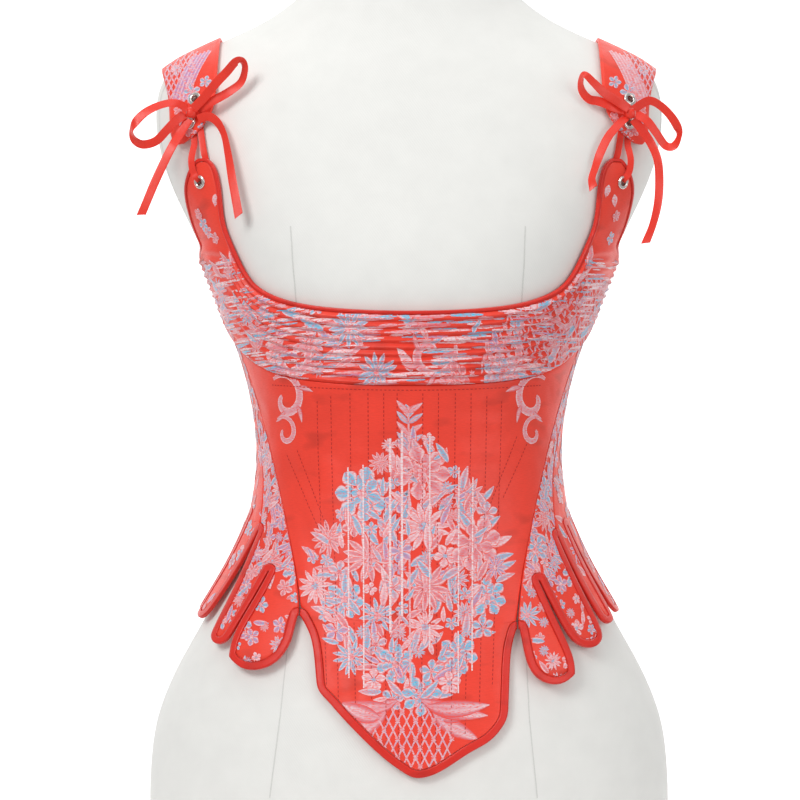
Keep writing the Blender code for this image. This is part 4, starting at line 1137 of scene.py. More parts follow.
class Weave:
    """Figures woven on one cloth: fine curved patches, each point with its colour."""

    def __init__(self, cell: float, seed: int) -> None:
        """Starts an empty weave.

        Args:
            cell: greatest size of a patch's faces, in metres.
            seed: seed of the drawn variations.
        """
        self.cell = cell
        self.draw = random.Random(seed)
        self.over = 0.0
        self.places: List[Grid] = []
        self.tints: List[Grid] = []
        self.lifts: List[Grid] = []
        self.faces: List[Tuple[int, ...]] = []
        self.count = 0
        self.order = 0

    def patch(self, grid: Grid, tint: Grid) -> None:
        """Adds one patch.

        Args:
            grid: rows by columns of places.
            tint: the colour at each of them.
        """
        rows, columns = grid.shape[:2]
        self.order += 1
        lift = 0.00010 + 0.00022 * (self.order % 24) / 24 + self.over
        for r in range(rows - 1):
            for c in range(columns - 1):
                base = self.count + r * columns + c
                self.faces.append((base, base + 1, base + columns + 1, base + columns))
        self.places.append(grid.reshape(-1, 2))
        self.tints.append(tint.reshape(-1, 3))
        self.lifts.append(np.full(rows * columns, lift))
        self.count += rows * columns

    def petal(
        self, at: Place, turn: float, length: float, width: float,
        inner: Colour, outer: Colour, edge: Colour, bulge: float = 1.3, bend: float = 0.0,
    ) -> None:
        """Adds a petal or leaf.

        Args:
            at: its root.
            turn: its direction, in degrees from straight up.
            length: its length.
            width: its width.
            inner: colour at the root.
            outer: colour at the tip.
            edge: colour along its edges.
            bulge: over 1 for a rounded tip, under 1 for a pointed one.
            bend: sideways bend of the tip, in lengths.
        """
        rows = max(5, int(length / self.cell) + 2)
        columns = max(7, int(width / self.cell) + 2)
        t, s = np.meshgrid(np.linspace(0.0, 1.0, rows), np.linspace(-1.0, 1.0, columns), indexing="ij")
        half = width / 2 * np.sin(np.pi * np.clip(t, 0.02, 0.985) ** bulge) ** 0.75
        x, y = s * half + bend * length * t ** 2, t * length
        way = math.radians(turn)
        across, up = x * math.cos(way) + y * math.sin(way), y * math.cos(way) - x * math.sin(way)
        grid = np.stack([at[0] + across, at[1] + up], axis=-1)
        rim = np.clip((np.abs(s) - 0.50) / 0.16, 0, 1) * 0.9
        ribs = 0.24 * (0.5 + 0.5 * np.cos(s * 9.0 + t * 3.0))
        vein = np.clip(1 - np.abs(s) / 0.14, 0, 1) * 0.35
        tint = np.array(inner) * (1 - t[..., None]) + np.array(outer) * t[..., None]
        tint = tint * (1 - ribs[..., None]) + np.array(edge) * ribs[..., None]
        tint = tint * (1 - rim[..., None]) + np.array(edge) * rim[..., None]
        tint = tint * (1 - vein[..., None]) + np.array(ROSE) * vein[..., None]
        tint[np.abs(s) > 0.97] = RED
        self.patch(grid, tint)

    def band(self, line: Grid, widths: Grid, middle: Colour, edge: Colour) -> None:
        """Adds a curved band through places, with paler edges.

        Args:
            line: places along its middle.
            widths: its width at each of them.
            middle: colour along its middle.
            edge: colour along its edges.
        """
        ahead = np.gradient(line, axis=0)
        ahead /= np.maximum(np.linalg.norm(ahead, axis=1, keepdims=True), 1e-9)
        side = np.stack([-ahead[:, 1], ahead[:, 0]], axis=1)
        columns = max(3, int(float(widths.max()) / self.cell) + 2)
        s = np.linspace(-0.5, 0.5, columns)
        grid = line[:, None, :] + side[:, None, :] * (widths[:, None, None] * s[None, :, None])
        rim = np.clip((np.abs(s) - 0.25) / 0.2, 0, 1)
        tint = np.array(middle) * (1 - rim[:, None]) + np.array(edge) * rim[:, None]
        self.patch(grid, np.broadcast_to(tint[None], (*grid.shape[:2], 3)).copy())

    def blossom(self, kind: Bloom, at: Place, size: float, colours: Sequence[Colour]) -> None:
        """Adds a blossom of rings of petals.

        Args:
            kind: which blossom.
            at: its middle.
            size: its width.
            colours: root, tip and edge colours, and the middle's.
        """
        inner, outer, edge, heart = colours
        start = self.draw.uniform(0, 90)
        rings = {
            Bloom.ROSE: ((7, 0.20, 0.34, 0.34), (6, 0.10, 0.28, 0.28), (5, 0.02, 0.20, 0.22)),
            Bloom.ASTER: ((12, 0.10, 0.40, 0.15), (8, 0.04, 0.24, 0.12)),
            Bloom.FIVE: ((5, 0.05, 0.44, 0.40),),
            Bloom.BUD: ((3, 0.0, 0.62, 0.30),),
        }[kind]
        for ring, (count, root, length, width) in enumerate(rings):
            for number in range(count):
                turn = start + ring * 27 + 360 * number / count
                if kind is Bloom.BUD:
                    turn = (number - 1) * 24
                turn += self.draw.uniform(-6, 6)
                way = math.radians(turn)
                spot = (at[0] + math.sin(way) * root * size, at[1] + math.cos(way) * root * size)
                swap = self.draw.random() < 0.45
                self.petal(spot, turn, length * size, width * size, outer if swap else inner,
                           inner if swap else outer, edge, 1.35 if kind is not Bloom.ASTER else 0.95,
                           self.draw.uniform(-0.12, 0.12))
        if kind is not Bloom.BUD:
            for number in range(4):
                self.petal(at, 90 * number + start, size * 0.11, size * 0.12, heart, WHITE, heart, 1.2)

    def scroll(self, at: Place, size: float, turn: float, hand: float, lobes: bool = True) -> None:
        """Adds a leafy C-scroll.

        Args:
            at: the eye of its curl.
            size: its height.
            turn: its lean, in degrees.
            hand: 1 to curl one way and -1 the other.
            lobes: whether leaf lobes grow from its back.
        """
        t = np.linspace(0.0, 1.0, max(24, int(size * 3 / self.cell)))
        radius = size * (0.10 + 0.42 * t)
        angle = np.radians(turn) + hand * (np.pi * 1.9 * (1 - t))
        line = np.stack([at[0] + radius * np.sin(angle), at[1] + radius * np.cos(angle)], axis=1)
        self.band(line, size * 0.17 * np.sin(np.pi * np.clip(0.08 + 0.86 * t, 0, 1)) ** 0.6, PALE, WHITE)
        if lobes:
            for share in (0.35, 0.55, 0.72, 0.9):
                k = int(share * (len(t) - 1))
                out = math.degrees(angle[k])
                lobe = (size * 0.34, size * 0.13)
                self.petal(tuple(line[k]), out + hand * 30, *lobe, PALE, WHITE, ROSE, 0.8, hand * 0.3)

    def net(self, inside: Region, box: Box, pitch: float) -> None:
        """Adds a lattice with a small star at every other crossing.

        Args:
            inside: tells whether a place is in the net.
            box: least and greatest place round and up.
            pitch: size of the meshes.
        """
        low_x, high_x, low_y, high_y = box
        columns, rows = int((high_x - low_x) / pitch) + 1, int((high_y - low_y) / pitch) + 1
        for r in range(rows):
            for c in range(columns):
                x, y = low_x + (c + 0.5 * (r % 2)) * pitch, low_y + r * pitch
                for reach in (-0.5, 0.5):
                    end = (x + reach * pitch, y + pitch)
                    if inside(x, y) and inside(*end):
                        line = np.linspace((x, y), end, 7)
                        self.band(line, np.full(7, 0.0010), mixed(PALE, LILAC, self.draw.random()), WHITE)
                if inside(x, y) and (r + c) % 2 == 0:
                    for k in range(6):
                        self.petal((x, y), 60 * k, pitch * 0.34, pitch * 0.16, PALE, WHITE, PALE, 1.1)

    def dashes(
        self, line: Grid, step: float = 0.0030, length: float = 0.0019, width: float = 0.00055
    ) -> None:
        """Adds a row of stitches.

        Args:
            line: places along the row.
            step: from one stitch to the next.
            length: a stitch's length.
            width: a stitch's width.
        """
        run = np.concatenate([[0.0], np.cumsum(np.linalg.norm(np.diff(line, axis=0), axis=1))])
        for start in np.arange(0.0, run[-1] - length, step):
            at = np.linspace(start, start + length, 4)
            places = np.stack([np.interp(at, run, line[:, k]) for k in (0, 1)], axis=1)
            self.band(places, np.array([0.5, 1.0, 1.0, 0.5]) * width, RED, RED)

    def finish(self, name: str, laying: Laying, material: bpy.types.Material) -> Optional[Piece]:
        """Lays everything on the cloth as one piece.

        Args:
            name: the piece's name.
            laying: the cloth.
            material: the finish.

        Returns:
            The piece, or None if nothing met the cloth.
        """
        if not self.places:
            return None
        places, tints = np.concatenate(self.places), np.concatenate(self.tints)
        points, met = laying.laid(places, np.concatenate(self.lifts))
        kept = []
        for face in self.faces:
            corners = list(face)
            if met[corners].all():
                sides = np.linalg.norm(points[corners] - points[corners[1:] + corners[:1]], axis=1)
                spans = np.linalg.norm(places[corners] - places[corners[1:] + corners[:1]], axis=1)
                if (sides < 2.2 * spans + 0.0004).all():
                    kept.append(face)
        if not kept:
            return None
        used = np.unique(np.array(kept).ravel())
        renumber = np.full(len(points), -1)
        renumber[used] = np.arange(len(used))
        mesh = bpy.data.meshes.new(name)
        mesh.from_pydata(points[used].tolist(), [], [tuple(int(renumber[v]) for v in face) for face in kept])
        layer = mesh.color_attributes.new("tint", "FLOAT_COLOR", "POINT")
        colours = np.concatenate([tints[used], np.ones((len(used), 1))], axis=1)
        layer.data.foreach_set("color", colours.astype(np.float32).ravel())
        write_map(mesh, places[used])
        body = bmesh.new()
        body.from_mesh(mesh)
        body.normal_update()
        turned = [f for f in body.faces if f.normal.dot(f.calc_center_median() * Vector((1, 1, 0))) < 0]
        bmesh.ops.reverse_faces(body, faces=turned)
        body.to_mesh(mesh)
        body.free()
        made = object_from(name, mesh, material)
        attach(made, "root")
        LOG.info("%s: %d faces, %d patches", name, len(kept), self.order)
        return made


# Root, tip and edge colours of a flower's petals, and its middle's.
PINKS: Palette = (ROSE, PALE, WHITE, PALE)
BLUES: Palette = (SKY, SKY, WHITE, PALE)
MIXED: Palette = (SKY, PALE, WHITE, ROSE)
ROSES: Palette = (PALE, WHITE, WHITE, SKY)
MAUVES: Palette = (LILAC, BLUE, WHITE, WHITE)
PALETTES: Tuple[Palette, ...] = (PINKS, BLUES, MIXED, ROSES, MAUVES)


@dataclass(frozen=True)
class Scatter:
    """Flowers drawn over a region: big ones first, then smaller ones, with leaves in the gaps."""

    sizes: Tuple[Tuple[float, int], ...]
    leaf_tries: int
    leaf_size: float
    weights: Tuple[float, ...]
    spacing: float = 0.42
    tries: int = 12
    large: float = 0.018
    leaf_slimness: float = 0.38
    leaf_fan: float = 55.0

    def drift(self, draw: random.Random, x: float, y: float) -> Palette:
        """Picks colours so that blues and pinks gather in soft patches.

        Args:
            draw: the seeded draw.
            x: place round.
            y: place up.

        Returns:
            The colours of one flower or leaf.
        """
        wave = math.sin(95.0 * x + 1.7) * math.sin(78.0 * y + 0.6) + 0.5 * math.sin(160.0 * (x - y))
        cool = 1.0 + 1.6 * max(0.0, wave)
        warm = 1.0 + 1.6 * max(0.0, -wave)
        tilt = (warm, cool, 1.0, warm, cool)
        return draw.choices(PALETTES, [share * lean for share, lean in zip(self.weights, tilt)])[0]

    def places(self, draw: random.Random, inside: Region, box: Box) -> List[Spot]:
        """Draws where the blossoms stand.

        Args:
            draw: the seeded draw.
            inside: tells whether a place is in the region.
            box: least and greatest place round and up.

        Returns:
            Each blossom's place round and up, and its size.
        """
        spots: List[Spot] = []
        for size, count in self.sizes:
            for _ in range(count * self.tries):
                x, y = draw.uniform(box[0], box[1]), draw.uniform(box[2], box[3])
                clear = all(math.hypot(x - a, y - b) > (size + c) * self.spacing for a, b, c in spots)
                if inside(x, y) and clear:
                    spots.append((x, y, size))
                    if sum(1 for spot in spots if spot[2] == size) >= count:
                        break
        return spots

    def fill(self, weave: Weave, inside: Region, box: Box) -> List[Spot]:
        """Adds the flowers to a weave.

        Args:
            weave: takes the figures.
            inside: tells whether a place is in the region.
            box: least and greatest place round and up.

        Returns:
            Each blossom's place round and up, and its size.
        """
        draw = weave.draw
        spots = self.places(draw, inside, box)
        middle = (box[0] + box[1]) / 2
        for _ in range(self.leaf_tries):
            x, y = draw.uniform(box[0], box[1]), draw.uniform(box[2], box[3])
            if inside(x, y):
                colours = self.drift(draw, x, y)
                size = self.leaf_size * draw.uniform(0.6, 1.15)
                away = math.degrees(math.atan2(x - middle, y - box[2]))
                turn = away + draw.uniform(-self.leaf_fan, self.leaf_fan)
                wide, bend = size * self.leaf_slimness, draw.uniform(-0.25, 0.25)
                weave.petal((x, y), turn, size, wide, *colours[:3], 0.8, bend)
        for x, y, size in sorted(spots, key=lambda spot: spot[2]):
            kinds = (Bloom.ROSE, Bloom.ASTER) if size > self.large else (Bloom.FIVE, Bloom.ASTER, Bloom.FIVE)
            kind = draw.choice(kinds)
            weave.blossom(kind, (x, y), size, self.drift(draw, x, y))
        return spots


# Places in the tables below are pixels of the 800 pixel square view, from its left and its top.
# Regions: rows of y, left x and right x, from the top down.
BOUQUET_ROWS = (
    (432, 398, 424), (455, 380, 440), (480, 372, 470), (505, 345, 482), (530, 330, 496), (556, 312, 500),
    (600, 312, 500), (630, 330, 488), (655, 340, 470), (685, 370, 450), (705, 390, 430),
)
POINT_NET_ROWS = ((690, 398, 422), (715, 378, 440), (740, 368, 452), (768, 366, 454))
BAND_NET_ROWS = ((270, 560, 618), (320, 500, 612), (372, 470, 575))

# Turn and length of the leaves at the bouquet's foot, on each side.
FOOT_LEAVES = ((116, 0.046), (102, 0.042), (134, 0.036), (84, 0.026))
MIDDLE_X = 409

# Bright threads over the bouquet, and where they are wide.
THREADS_X = (352, 366, 380, 391, 402, 414, 428, 441, 455, 468)
WIDE_THREADS = (385, 420)

# Boning stitches: x at the hem, and y of the top and of the end.
BONING_STITCHES = (
    (327, 400, 690), (339, 395, 720), (356, 392, 740), (372, 392, 750), (386, 392, 756), (398, 392, 764),
    (421, 392, 764), (435, 392, 756), (450, 392, 748), (464, 392, 740), (478, 395, 722), (491, 400, 690),
)
SLANTED_STITCHES = (
    ((290, 455), (320, 530)), ((300, 450), (332, 540)), ((525, 440), (500, 500)), ((514, 436), (488, 505)),
)

# Node, least and greatest distance round, and seed of the side fronts' and backs' flowers.
PANEL_PLANS = (
    ("side_L", -0.26, -0.06, 31), ("side_R", 0.06, 0.26, 32), ("back_L", -0.40, -0.12, 33),
    ("back_R", 0.12, 0.40, 34),
)
SIDE_SCROLLS = ((395, 0.030), (470, 0.024), (545, 0.022))

# Small figures on the band's tabs: x, y, size and colours, or x, y and turn.
TAB_BLOSSOMS = (
    (206, 222, 0.011, BLUES), (201, 212, 0.009, PINKS), (211, 230, 0.010, MIXED), (218, 236, 0.009, PINKS),
    (613, 214, 0.009, PINKS), (607, 236, 0.010, BLUES),
)
TAB_PETALS = ((217, 205, 15), (612, 205, -20), (603, 196, 10))

# The band's scrolls: x, y, size and hand.
BAND_SCROLLS = (
    (430, 352, 0.034, 1), (300, 352, 0.032, -1), (262, 318, 0.030, 1), (352, 338, 0.022, -1),
    (505, 345, 0.032, -1), (560, 310, 0.026, 1),
)

# The straps' blossoms: x towards the arm from the strap's middle, y, size and colours.
STRAP_BLOSSOMS = (
    (2, 88, 0.013, BLUES), (-12, 78, 0.010, BLUES), (14, 92, 0.010, PINKS), (-14, 116, 0.009, PINKS),
    (6, 128, 0.010, PINKS), (20, 62, 0.009, MIXED), (-4, 134, 0.009, MIXED), (12, 118, 0.009, BLUES),
    (-10, 126, 0.008, BLUES), (16, 106, 0.008, PINKS), (2, 140, 0.007, PINKS),
)
STRAP_MIDDLES = {Side.L: 191.0, Side.R: 629.0}

# The form's seams and the rims of its arm plates.
FORM_SEAMS = (
    ((286, 650), (279, 715), (268, 800)),
    ((526, 650), (530, 720), (538, 800)),
    ((652, 73), (662, 92), (665, 111), (661, 150), (649, 189), (636, 223)),
    ((168, 73), (158, 92), (155, 111), (159, 150), (171, 189), (184, 223)),
    ((289, 225), (291, 262), (295, 305)),
    ((526, 225), (525, 262), (522, 305)),
)


@dataclass
class Embellisher:
    """Plans the woven figures and stitches of every cloth, in a layout of its own."""

    garment_pieces: Dict[str, Piece]
    finishes: Wardrobe
    sight: Sight = field(default_factory=Sight)
    stem_points: int = 160
    seam_points: int = 90
    hem: float = 0.232
    back_hem: float = 0.236
    below_hem_share: float = 0.22
    band_top: float = 0.470
    streaks: int = 2100
    streak_points: int = 10

    def outline(self, rows: Sequence[Tuple[float, float, float]]) -> Tuple[Region, Box]:
        """A region from pixel rows.

        Args:
            rows: y pixel, left x pixel and right x pixel, from the top down.

        Returns:
            A test for places, and the region's box.
        """
        lefts = [self.sight.on_form(left, y) for y, left, _ in rows]
        rights = [self.sight.on_form(right, y) for y, _, right in rows]
        heights = [(a[1] + b[1]) / 2 for a, b in zip(lefts, rights)][::-1]
        low, high = [p[0] for p in lefts][::-1], [p[0] for p in rights][::-1]

        def inside(x: float, y: float) -> bool:
            """Whether a place is between the rows' ends."""
            if not heights[0] <= y <= heights[-1]:
                return False
            return float(np.interp(y, heights, low)) <= x <= float(np.interp(y, heights, high))

        return inside, (min(low), max(high), heights[0], heights[-1])

    def stem(self, weave: Weave) -> None:
        """Adds the bouquet's stem with its top buds and leaves.

        Args:
            weave: takes the figures.
        """
        for y, colours in ((400, BLUES), (446, PINKS)):
            top = self.sight.on_form(MIDDLE_X - 1, y)
            weave.blossom(Bloom.BUD, (top[0], top[1] - 0.012), 0.016, colours)
        count = self.stem_points
        ends = self.sight.on_form(MIDDLE_X - 1, 405), self.sight.on_form(MIDDLE_X + 1, 690)
        line = np.linspace(*ends, count)
        weave.band(line, np.full(count, 0.0012), PALE, WHITE)
        for side in (-1, 1):
            for k in range(5):
                edge = SKY if k % 2 else PALE
                weave.petal(tuple(line[4 + 6 * k]), side * 48, 0.012, 0.0045, PALE, WHITE, edge, 0.85, 0.1)

    def threads(self, weave: Weave, spots: Sequence[Spot]) -> None:
        """Adds the bright upright threads, broken where no blossom is near.

        Args:
            weave: takes the threads.
            spots: the blossoms' places and sizes.
        """
        weave.over = 0.00022
        for x in THREADS_X:
            wide = WIDE_THREADS[0] < x < WIDE_THREADS[1]
            run: List[Place] = []
            for y in np.arange(425.0, 700.0, 2.5):
                spot = self.sight.on_form(x + (x - MIDDLE_X) * 0.05, float(y))
                if any(math.hypot(spot[0] - a, spot[1] - b) < 0.60 * size for a, b, size in spots):
                    run.append(spot)
                    continue
                if len(run) > 4:
                    weave.band(np.array(run), np.full(len(run), 0.0016 if wide else 0.0010), BRIGHT, BRIGHT)
                run = []

    def stitches(self) -> Weave:
        """The front panel's rows of stitches.

        Returns:
            The weave that holds them.
        """
        sewn = Weave(0.002, 3)
        for x, top, low in BONING_STITCHES:
            bend, last = (x - MIDDLE_X) * 0.10, 19
            shares = [k / last for k in range(last + 1)]
            sewn.dashes(np.array([
                self.sight.on_form(x + bend * (1 - share), top + (low - top) * share) for share in shares
            ]))
        for start, end in SLANTED_STITCHES:
            sewn.dashes(np.array([self.sight.on_form(*p) for p in np.linspace(start, end, 12)]))
        sewn.dashes(np.array([
            self.sight.on_form(x, 389 - 5 * ((x - MIDDLE_X) / 130) ** 2) for x in range(275, 545, 6)
        ]))
        return sewn

    def front(self) -> List[Piece]:
        """The front panel's bouquet, scrolls, net and stitches.

        Returns:
            The pieces that lie on the panel.
        """
        weave = Weave(0.0013, 21)
        bouquet, box = self.outline(BOUQUET_ROWS)
        net, net_box = self.outline(POINT_NET_ROWS)
        weave.net(net, net_box, 0.0062)
        for hand in (-1, 1):
            root = self.sight.on_form(MIDDLE_X + hand * 12, 702)
            for k, (turn, length) in enumerate(FOOT_LEAVES):
                at = (root[0] + hand * 0.004 * k, root[1] - 0.004 * k)
                weave.petal(at, hand * turn, length, 0.012, PALE, WHITE, ROSE, 0.9, -hand * 0.22)
        for hand in (-1, 1):
            for y, size in ((398, 0.036), (432, 0.024)):
                spot = self.sight.on_form(MIDDLE_X + hand * 121, y)
                weave.scroll(spot, size, hand * 40, -hand, lobes=size > 0.03)
        sizes = ((0.036, 6), (0.026, 14), (0.017, 60), (0.010, 150))
        spots = Scatter(sizes, 330, 0.016, (2.8, 6.0, 4.6, 2.2, 1.6)).fill(weave, bouquet, box)
        self.stem(weave)
        self.threads(weave, spots)
        laying = Laying(self.garment_pieces["front_centre"])
        made = [
            weave.finish("front_flowers", laying, self.finishes.flowers),
            self.stitches().finish("front_stitches", laying, self.finishes.thread),
        ]
        return [piece for piece in made if piece]

    def sides(self) -> Dict[str, List[Piece]]:
        """The side fronts' and backs' small flowers.

        Returns:
            The pieces that lie on each panel.
        """
        found: Dict[str, List[Piece]] = {}
        for node, low, high, seed in PANEL_PLANS:
            side = node.startswith("side")
            weave = Weave(0.0014 if side else 0.0020, seed)
            hem = self.hem if side else self.back_hem

            def inside(x: float, y: float, hem: float = hem, weave: Weave = weave) -> bool:
                """Whether a place is above the tabs, or one of the few on them."""
                return y > hem or weave.draw.random() < self.below_hem_share

            box = (low, high, 0.165, 0.475)
            sizes = ((0.020, 40), (0.013, 190), (0.008, 330))
            leaf_tries = 1260 if side else 390
            Scatter(sizes if side else sizes[:2], leaf_tries, 0.013, (3, 6, 3, 2, 6)).fill(weave, inside, box)
            if side:
                sign = -1 if low < 0 else 1
                for y, size in SIDE_SCROLLS:
                    spot = self.sight.on_form(MIDDLE_X + sign * 143, y)
                    weave.scroll(spot, size, sign * 20, sign, lobes=False)
            made = weave.finish(node + "_flowers", Laying(self.garment_pieces[node]), self.finishes.flowers)
            found[node] = [made] if made else []
        return found

    def band(self) -> List[Piece]:
        """The band's broken streaks, flowers, scrolls and net, with a plain patch in the middle.

        Returns:
            The pieces that lie on the band.
        """
        weave = Weave(0.0009, 41)
        plain = self.sight.on_form(390, 352)
        right_net, net_box = self.outline(BAND_NET_ROWS)
        weave.net(right_net, net_box, 0.0068)

        def inside(x: float, y: float) -> bool:
            """Whether a place is off the plain patch, and drawn if it is on a tab or the net."""
            apart = math.hypot((x - plain[0]) / 0.024, (y - plain[1]) / 0.013) > 1.0
            on_tab = y > self.band_top
            return (
                apart
                and (not on_tab or weave.draw.random() < 0.12)
                and (not right_net(x, y) or weave.draw.random() < 0.6)
            )

        box = (-0.30, 0.30, 0.372, 0.50)
        draw, count = weave.draw, self.streak_points
        taper = np.sin(np.linspace(0.4, 2.74, count))
        for _ in range(self.streaks):
            x, y = draw.uniform(box[0], box[1]), draw.uniform(box[2], self.band_top)
            if inside(x, y):
                half = draw.uniform(0.004, 0.014)
                slope = 0.04 * (half * np.linspace(-1, 1, count))
                line = np.stack([np.linspace(x - half, x + half, count), np.full(count, y) + slope], axis=1)
                tint = draw.choices((PALE, WHITE, ROSE, SKY, LILAC), (5, 7, 2, 3, 1))[0]
                weave.band(line, draw.uniform(0.0009, 0.0020) * taper, tint, mixed(tint, WHITE, 0.5))
        sizes = ((0.028, 7), (0.020, 16), (0.012, 44))
        Scatter(sizes, 210, 0.018, (4, 5, 3, 2, 2), 0.50).fill(weave, inside, box)
        for x, y, size, colours in TAB_BLOSSOMS:
            weave.blossom(Bloom.FIVE, self.sight.on_form(x, y), size, colours)
        for x, y, turn in TAB_PETALS:
            weave.petal(self.sight.on_form(x, y), turn, 0.009, 0.006, PALE, WHITE, WHITE, 1.2)
        for x, y, size, hand in BAND_SCROLLS:
            weave.scroll(self.sight.on_form(x, y), size, 70 * hand, hand)
        made = weave.finish("band_flowers", Laying(self.garment_pieces["bust_band"]), self.finishes.flowers)
        return [made] if made else []

    def strap(self, side: Side) -> List[Piece]:
        """A strap's lattice, curved stripes and small blossoms.

        Args:
            side: which strap.

        Returns:
            The pieces that lie on it.
        """
        weave = Weave(0.0010, 51 if side is Side.L else 52)
        cloth = "strap_" + side.name

        def at(x: float, y: float) -> Place:
            """The strap's place at x pixels from its middle and y pixels from the top."""
            return self.sight.flat(STRAP_MIDDLES[side] + side.value * x, y)

        top, low = at(0, 38)[1], at(0, 104)[1]
        left, right = sorted((at(36, 60)[0], at(-2, 60)[0]))
        weave.net(lambda x, y: low < y < top and left < x < right, (left, right, low, top), 0.0040)
        shares = np.linspace(0, 1, 30)
        for k in range(5):
            line = np.array([
                at(20 * math.sin(1.3 * share) - 14 + 4.2 * k, 42 + 52 * share + 1.5 * k) for share in shares
            ])
            weave.band(line, np.full(len(shares), 0.0028), LILAC if side is Side.L else PALE, WHITE)
        for x, y, size, colours in STRAP_BLOSSOMS:
            weave.blossom(Bloom.FIVE, at(x, y), size, colours)
        laying = Laying(self.garment_pieces[cloth], False)
        made = weave.finish(cloth + "_flowers", laying, self.finishes.flowers)
        return [made] if made else []

    def form_seams(self) -> None:
        """The form's own fine seams and the rims of its arm plates."""
        weave = Weave(0.0012, 61)
        count = self.seam_points
        for line in FORM_SEAMS:
            places = np.array([self.sight.on_form(*p) for p in line])
            share = np.linspace(0, len(line) - 1, count)
            smooth = np.stack([np.interp(share, range(len(line)), places[:, k]) for k in (0, 1)], axis=1)
            weave.band(smooth, np.full(count, 0.0009), WHITE, WHITE)
        made = weave.finish("form_seams", Laying(self.garment_pieces["dress_form"]), self.finishes.seam)

    def everything(self) -> Dict[str, List[Piece]]:
        """All figures and stitches.

        Returns:
            The pieces that lie on each cloth.
        """
        found = {"front_centre": self.front(), "bust_band": self.band(), **self.sides()}
        for side in Side:
            found["strap_" + side.name] = self.strap(side)
        self.form_seams()
        return found


@dataclass(frozen=True)
class Lamp:
    """One soft lamp, aimed at the corset."""

    name: str
    place: Tuple[float, float, float]
    width: float
    power: float

    def hang(self) -> None:
        """Adds the lamp."""
        data = bpy.data.lights.new(self.name, "AREA")
        data.energy = self.power
        data.size = self.width
        made = bpy.data.objects.new(self.name, data)
        made.visible_camera = False
        made.location = self.place
        aim = Vector((0.0, 0.0, 0.36)) - Vector(self.place)
        made.rotation_euler = aim.to_track_quat("-Z", "Y").to_euler()
        bpy.context.scene.collection.objects.link(made)


@dataclass(frozen=True)
class Studio:
    """Pale floor, white backdrop and soft lamps."""

    floor_radius: float = 0.5
    backdrop_y: float = 4.2
    backdrop_half: float = 7.4
    ambient: float = 0.44
    lamps: Tuple[Lamp, ...] = (
        Lamp("key", (-1.1, -1.7, 1.5), 0.8, 22.0),
        Lamp("fill", (1.5, -1.5, 0.7), 1.2, 8.0),
        Lamp("top", (0.1, -0.5, 1.9), 1.2, 5.0),
    )

    def build(self) -> None:
        """Adds the stage and its light."""
        floor = bmesh.new()
        bmesh.ops.create_circle(floor, cap_ends=True, segments=96, radius=self.floor_radius)
        ground = bpy.data.meshes.new("floor")
        floor.to_mesh(ground)
        floor.free()
        pale = PlainFinish("pale floor", (0.86, 0.86, 0.86), 0.8, grain=30.0).build()
        shown = object_from("floor", ground, pale)
        far, half = self.backdrop_y, self.backdrop_half
        sheet = bpy.data.meshes.new("backdrop")
        corners = ((-half, -half), (half, -half), (half, 2 * half), (-half, 2 * half))
        sheet.from_pydata([(x, far, height) for x, height in corners], [], [(0, 1, 2, 3)])
        bright = PlainFinish("bright backdrop", (0.9, 0.9, 0.9), 1.0, glow=1.0).build()
        behind = object_from("backdrop", sheet, bright)
        world = bpy.data.worlds.new("studio air")
        world.use_nodes = True
        world.node_tree.nodes["Background"].inputs["Color"].default_value = (1.0, 1.0, 1.0, 1.0)
        world.node_tree.nodes["Background"].inputs["Strength"].default_value = self.ambient
        bpy.context.scene.world = world
        bpy.context.scene.view_settings.view_transform = "Standard"
        for lamp in self.lamps:
            lamp.hang()


@dataclass(frozen=True)
class Cut:
    """A cloth piece: its node, finish detail and how it is held."""

    node: str
    levels: int
    held: str
    rests_on: str
    corded: bool = False
    strap: bool = False


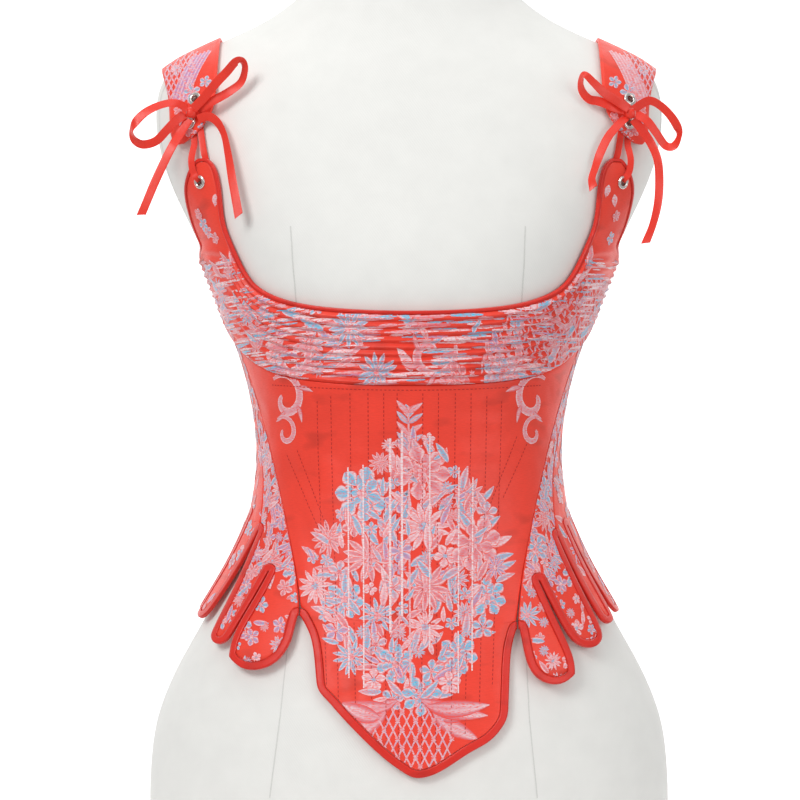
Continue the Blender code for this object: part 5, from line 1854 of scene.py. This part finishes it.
@dataclass
class Garment:
    """The corset's cloths, bindings and the form below them."""

    refiner: Refiner
    finishes: Wardrobe
    cuts: Tuple[Cut, ...] = (
        Cut("front_centre", 3, "stretched", "dress_form"),
        Cut("side_L", 2, "stretched", "dress_form"),
        Cut("side_R", 2, "stretched", "dress_form"),
        Cut("back_L", 2, "stretched", "dress_form"),
        Cut("back_R", 2, "stretched", "dress_form"),
        Cut("bust_band", 2, "stretched", "dress_form", corded=True),
        Cut("strap_L", 2, "hung", "dress_form", strap=True),
        Cut("strap_R", 2, "hung", "dress_form", strap=True),
    )
    pieces: Dict[str, Piece] = field(default_factory=dict)

    def sew(self) -> None:
        """Makes the cloths and their bindings."""
        for cut in self.cuts:
            mapping = shoulder_map if cut.strap else body_map
            made = self.refiner.piece(
                cut.node, cut.node + "_satin", cut.levels, self.finishes.satin, mapping, cut.corded
            )
            self.pieces[cut.node] = made
        for node in sorted(self.refiner.nodes):
            if "binding" in node:
                made = self.refiner.piece(node, node + "_satin", 2, self.finishes.trim)
                self.pieces[node] = made
        form = self.refiner.piece("dress_form", "form_twill", 2, self.finishes.twill)
        self.pieces["dress_form"] = form

    def declare(self, woven: Dict[str, List[Piece]]) -> None:
        """Works out each cloth's places on its map and looks up what is woven on it, but keeps neither.

        Args:
            woven: the flowers and stitches on each cloth.
        """
        for cut in self.cuts:
            made = self.pieces[cut.node]
            places = (shoulder_map if cut.strap else body_map)(mesh_points(made.data))
            woven.get(cut.node, [])


def main() -> None:
    """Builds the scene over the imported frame."""
    logging.basicConfig(level=logging.INFO, format="%(name)s: %(message)s")
    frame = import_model()
    sight = Sight()
    sight.camera()
    finishes = Wardrobe()
    ribbons = RibbonWork(finishes.ribbon)
    ribbons.bows()
    ribbons.laces()
    ribbons.knots()
    garment = Garment(Refiner(frame["nodes"]), finishes)
    garment.sew()
    eyelets = EyeletWork(frame["nodes"], finishes.nickel)
    for node in sorted(frame["nodes"]):
        if node.startswith("eyelet"):
            eyelets.make(node)
    garment.declare(Embellisher(garment.pieces, finishes).everything())
    Studio().build()


if __name__ == "__main__":
    main()
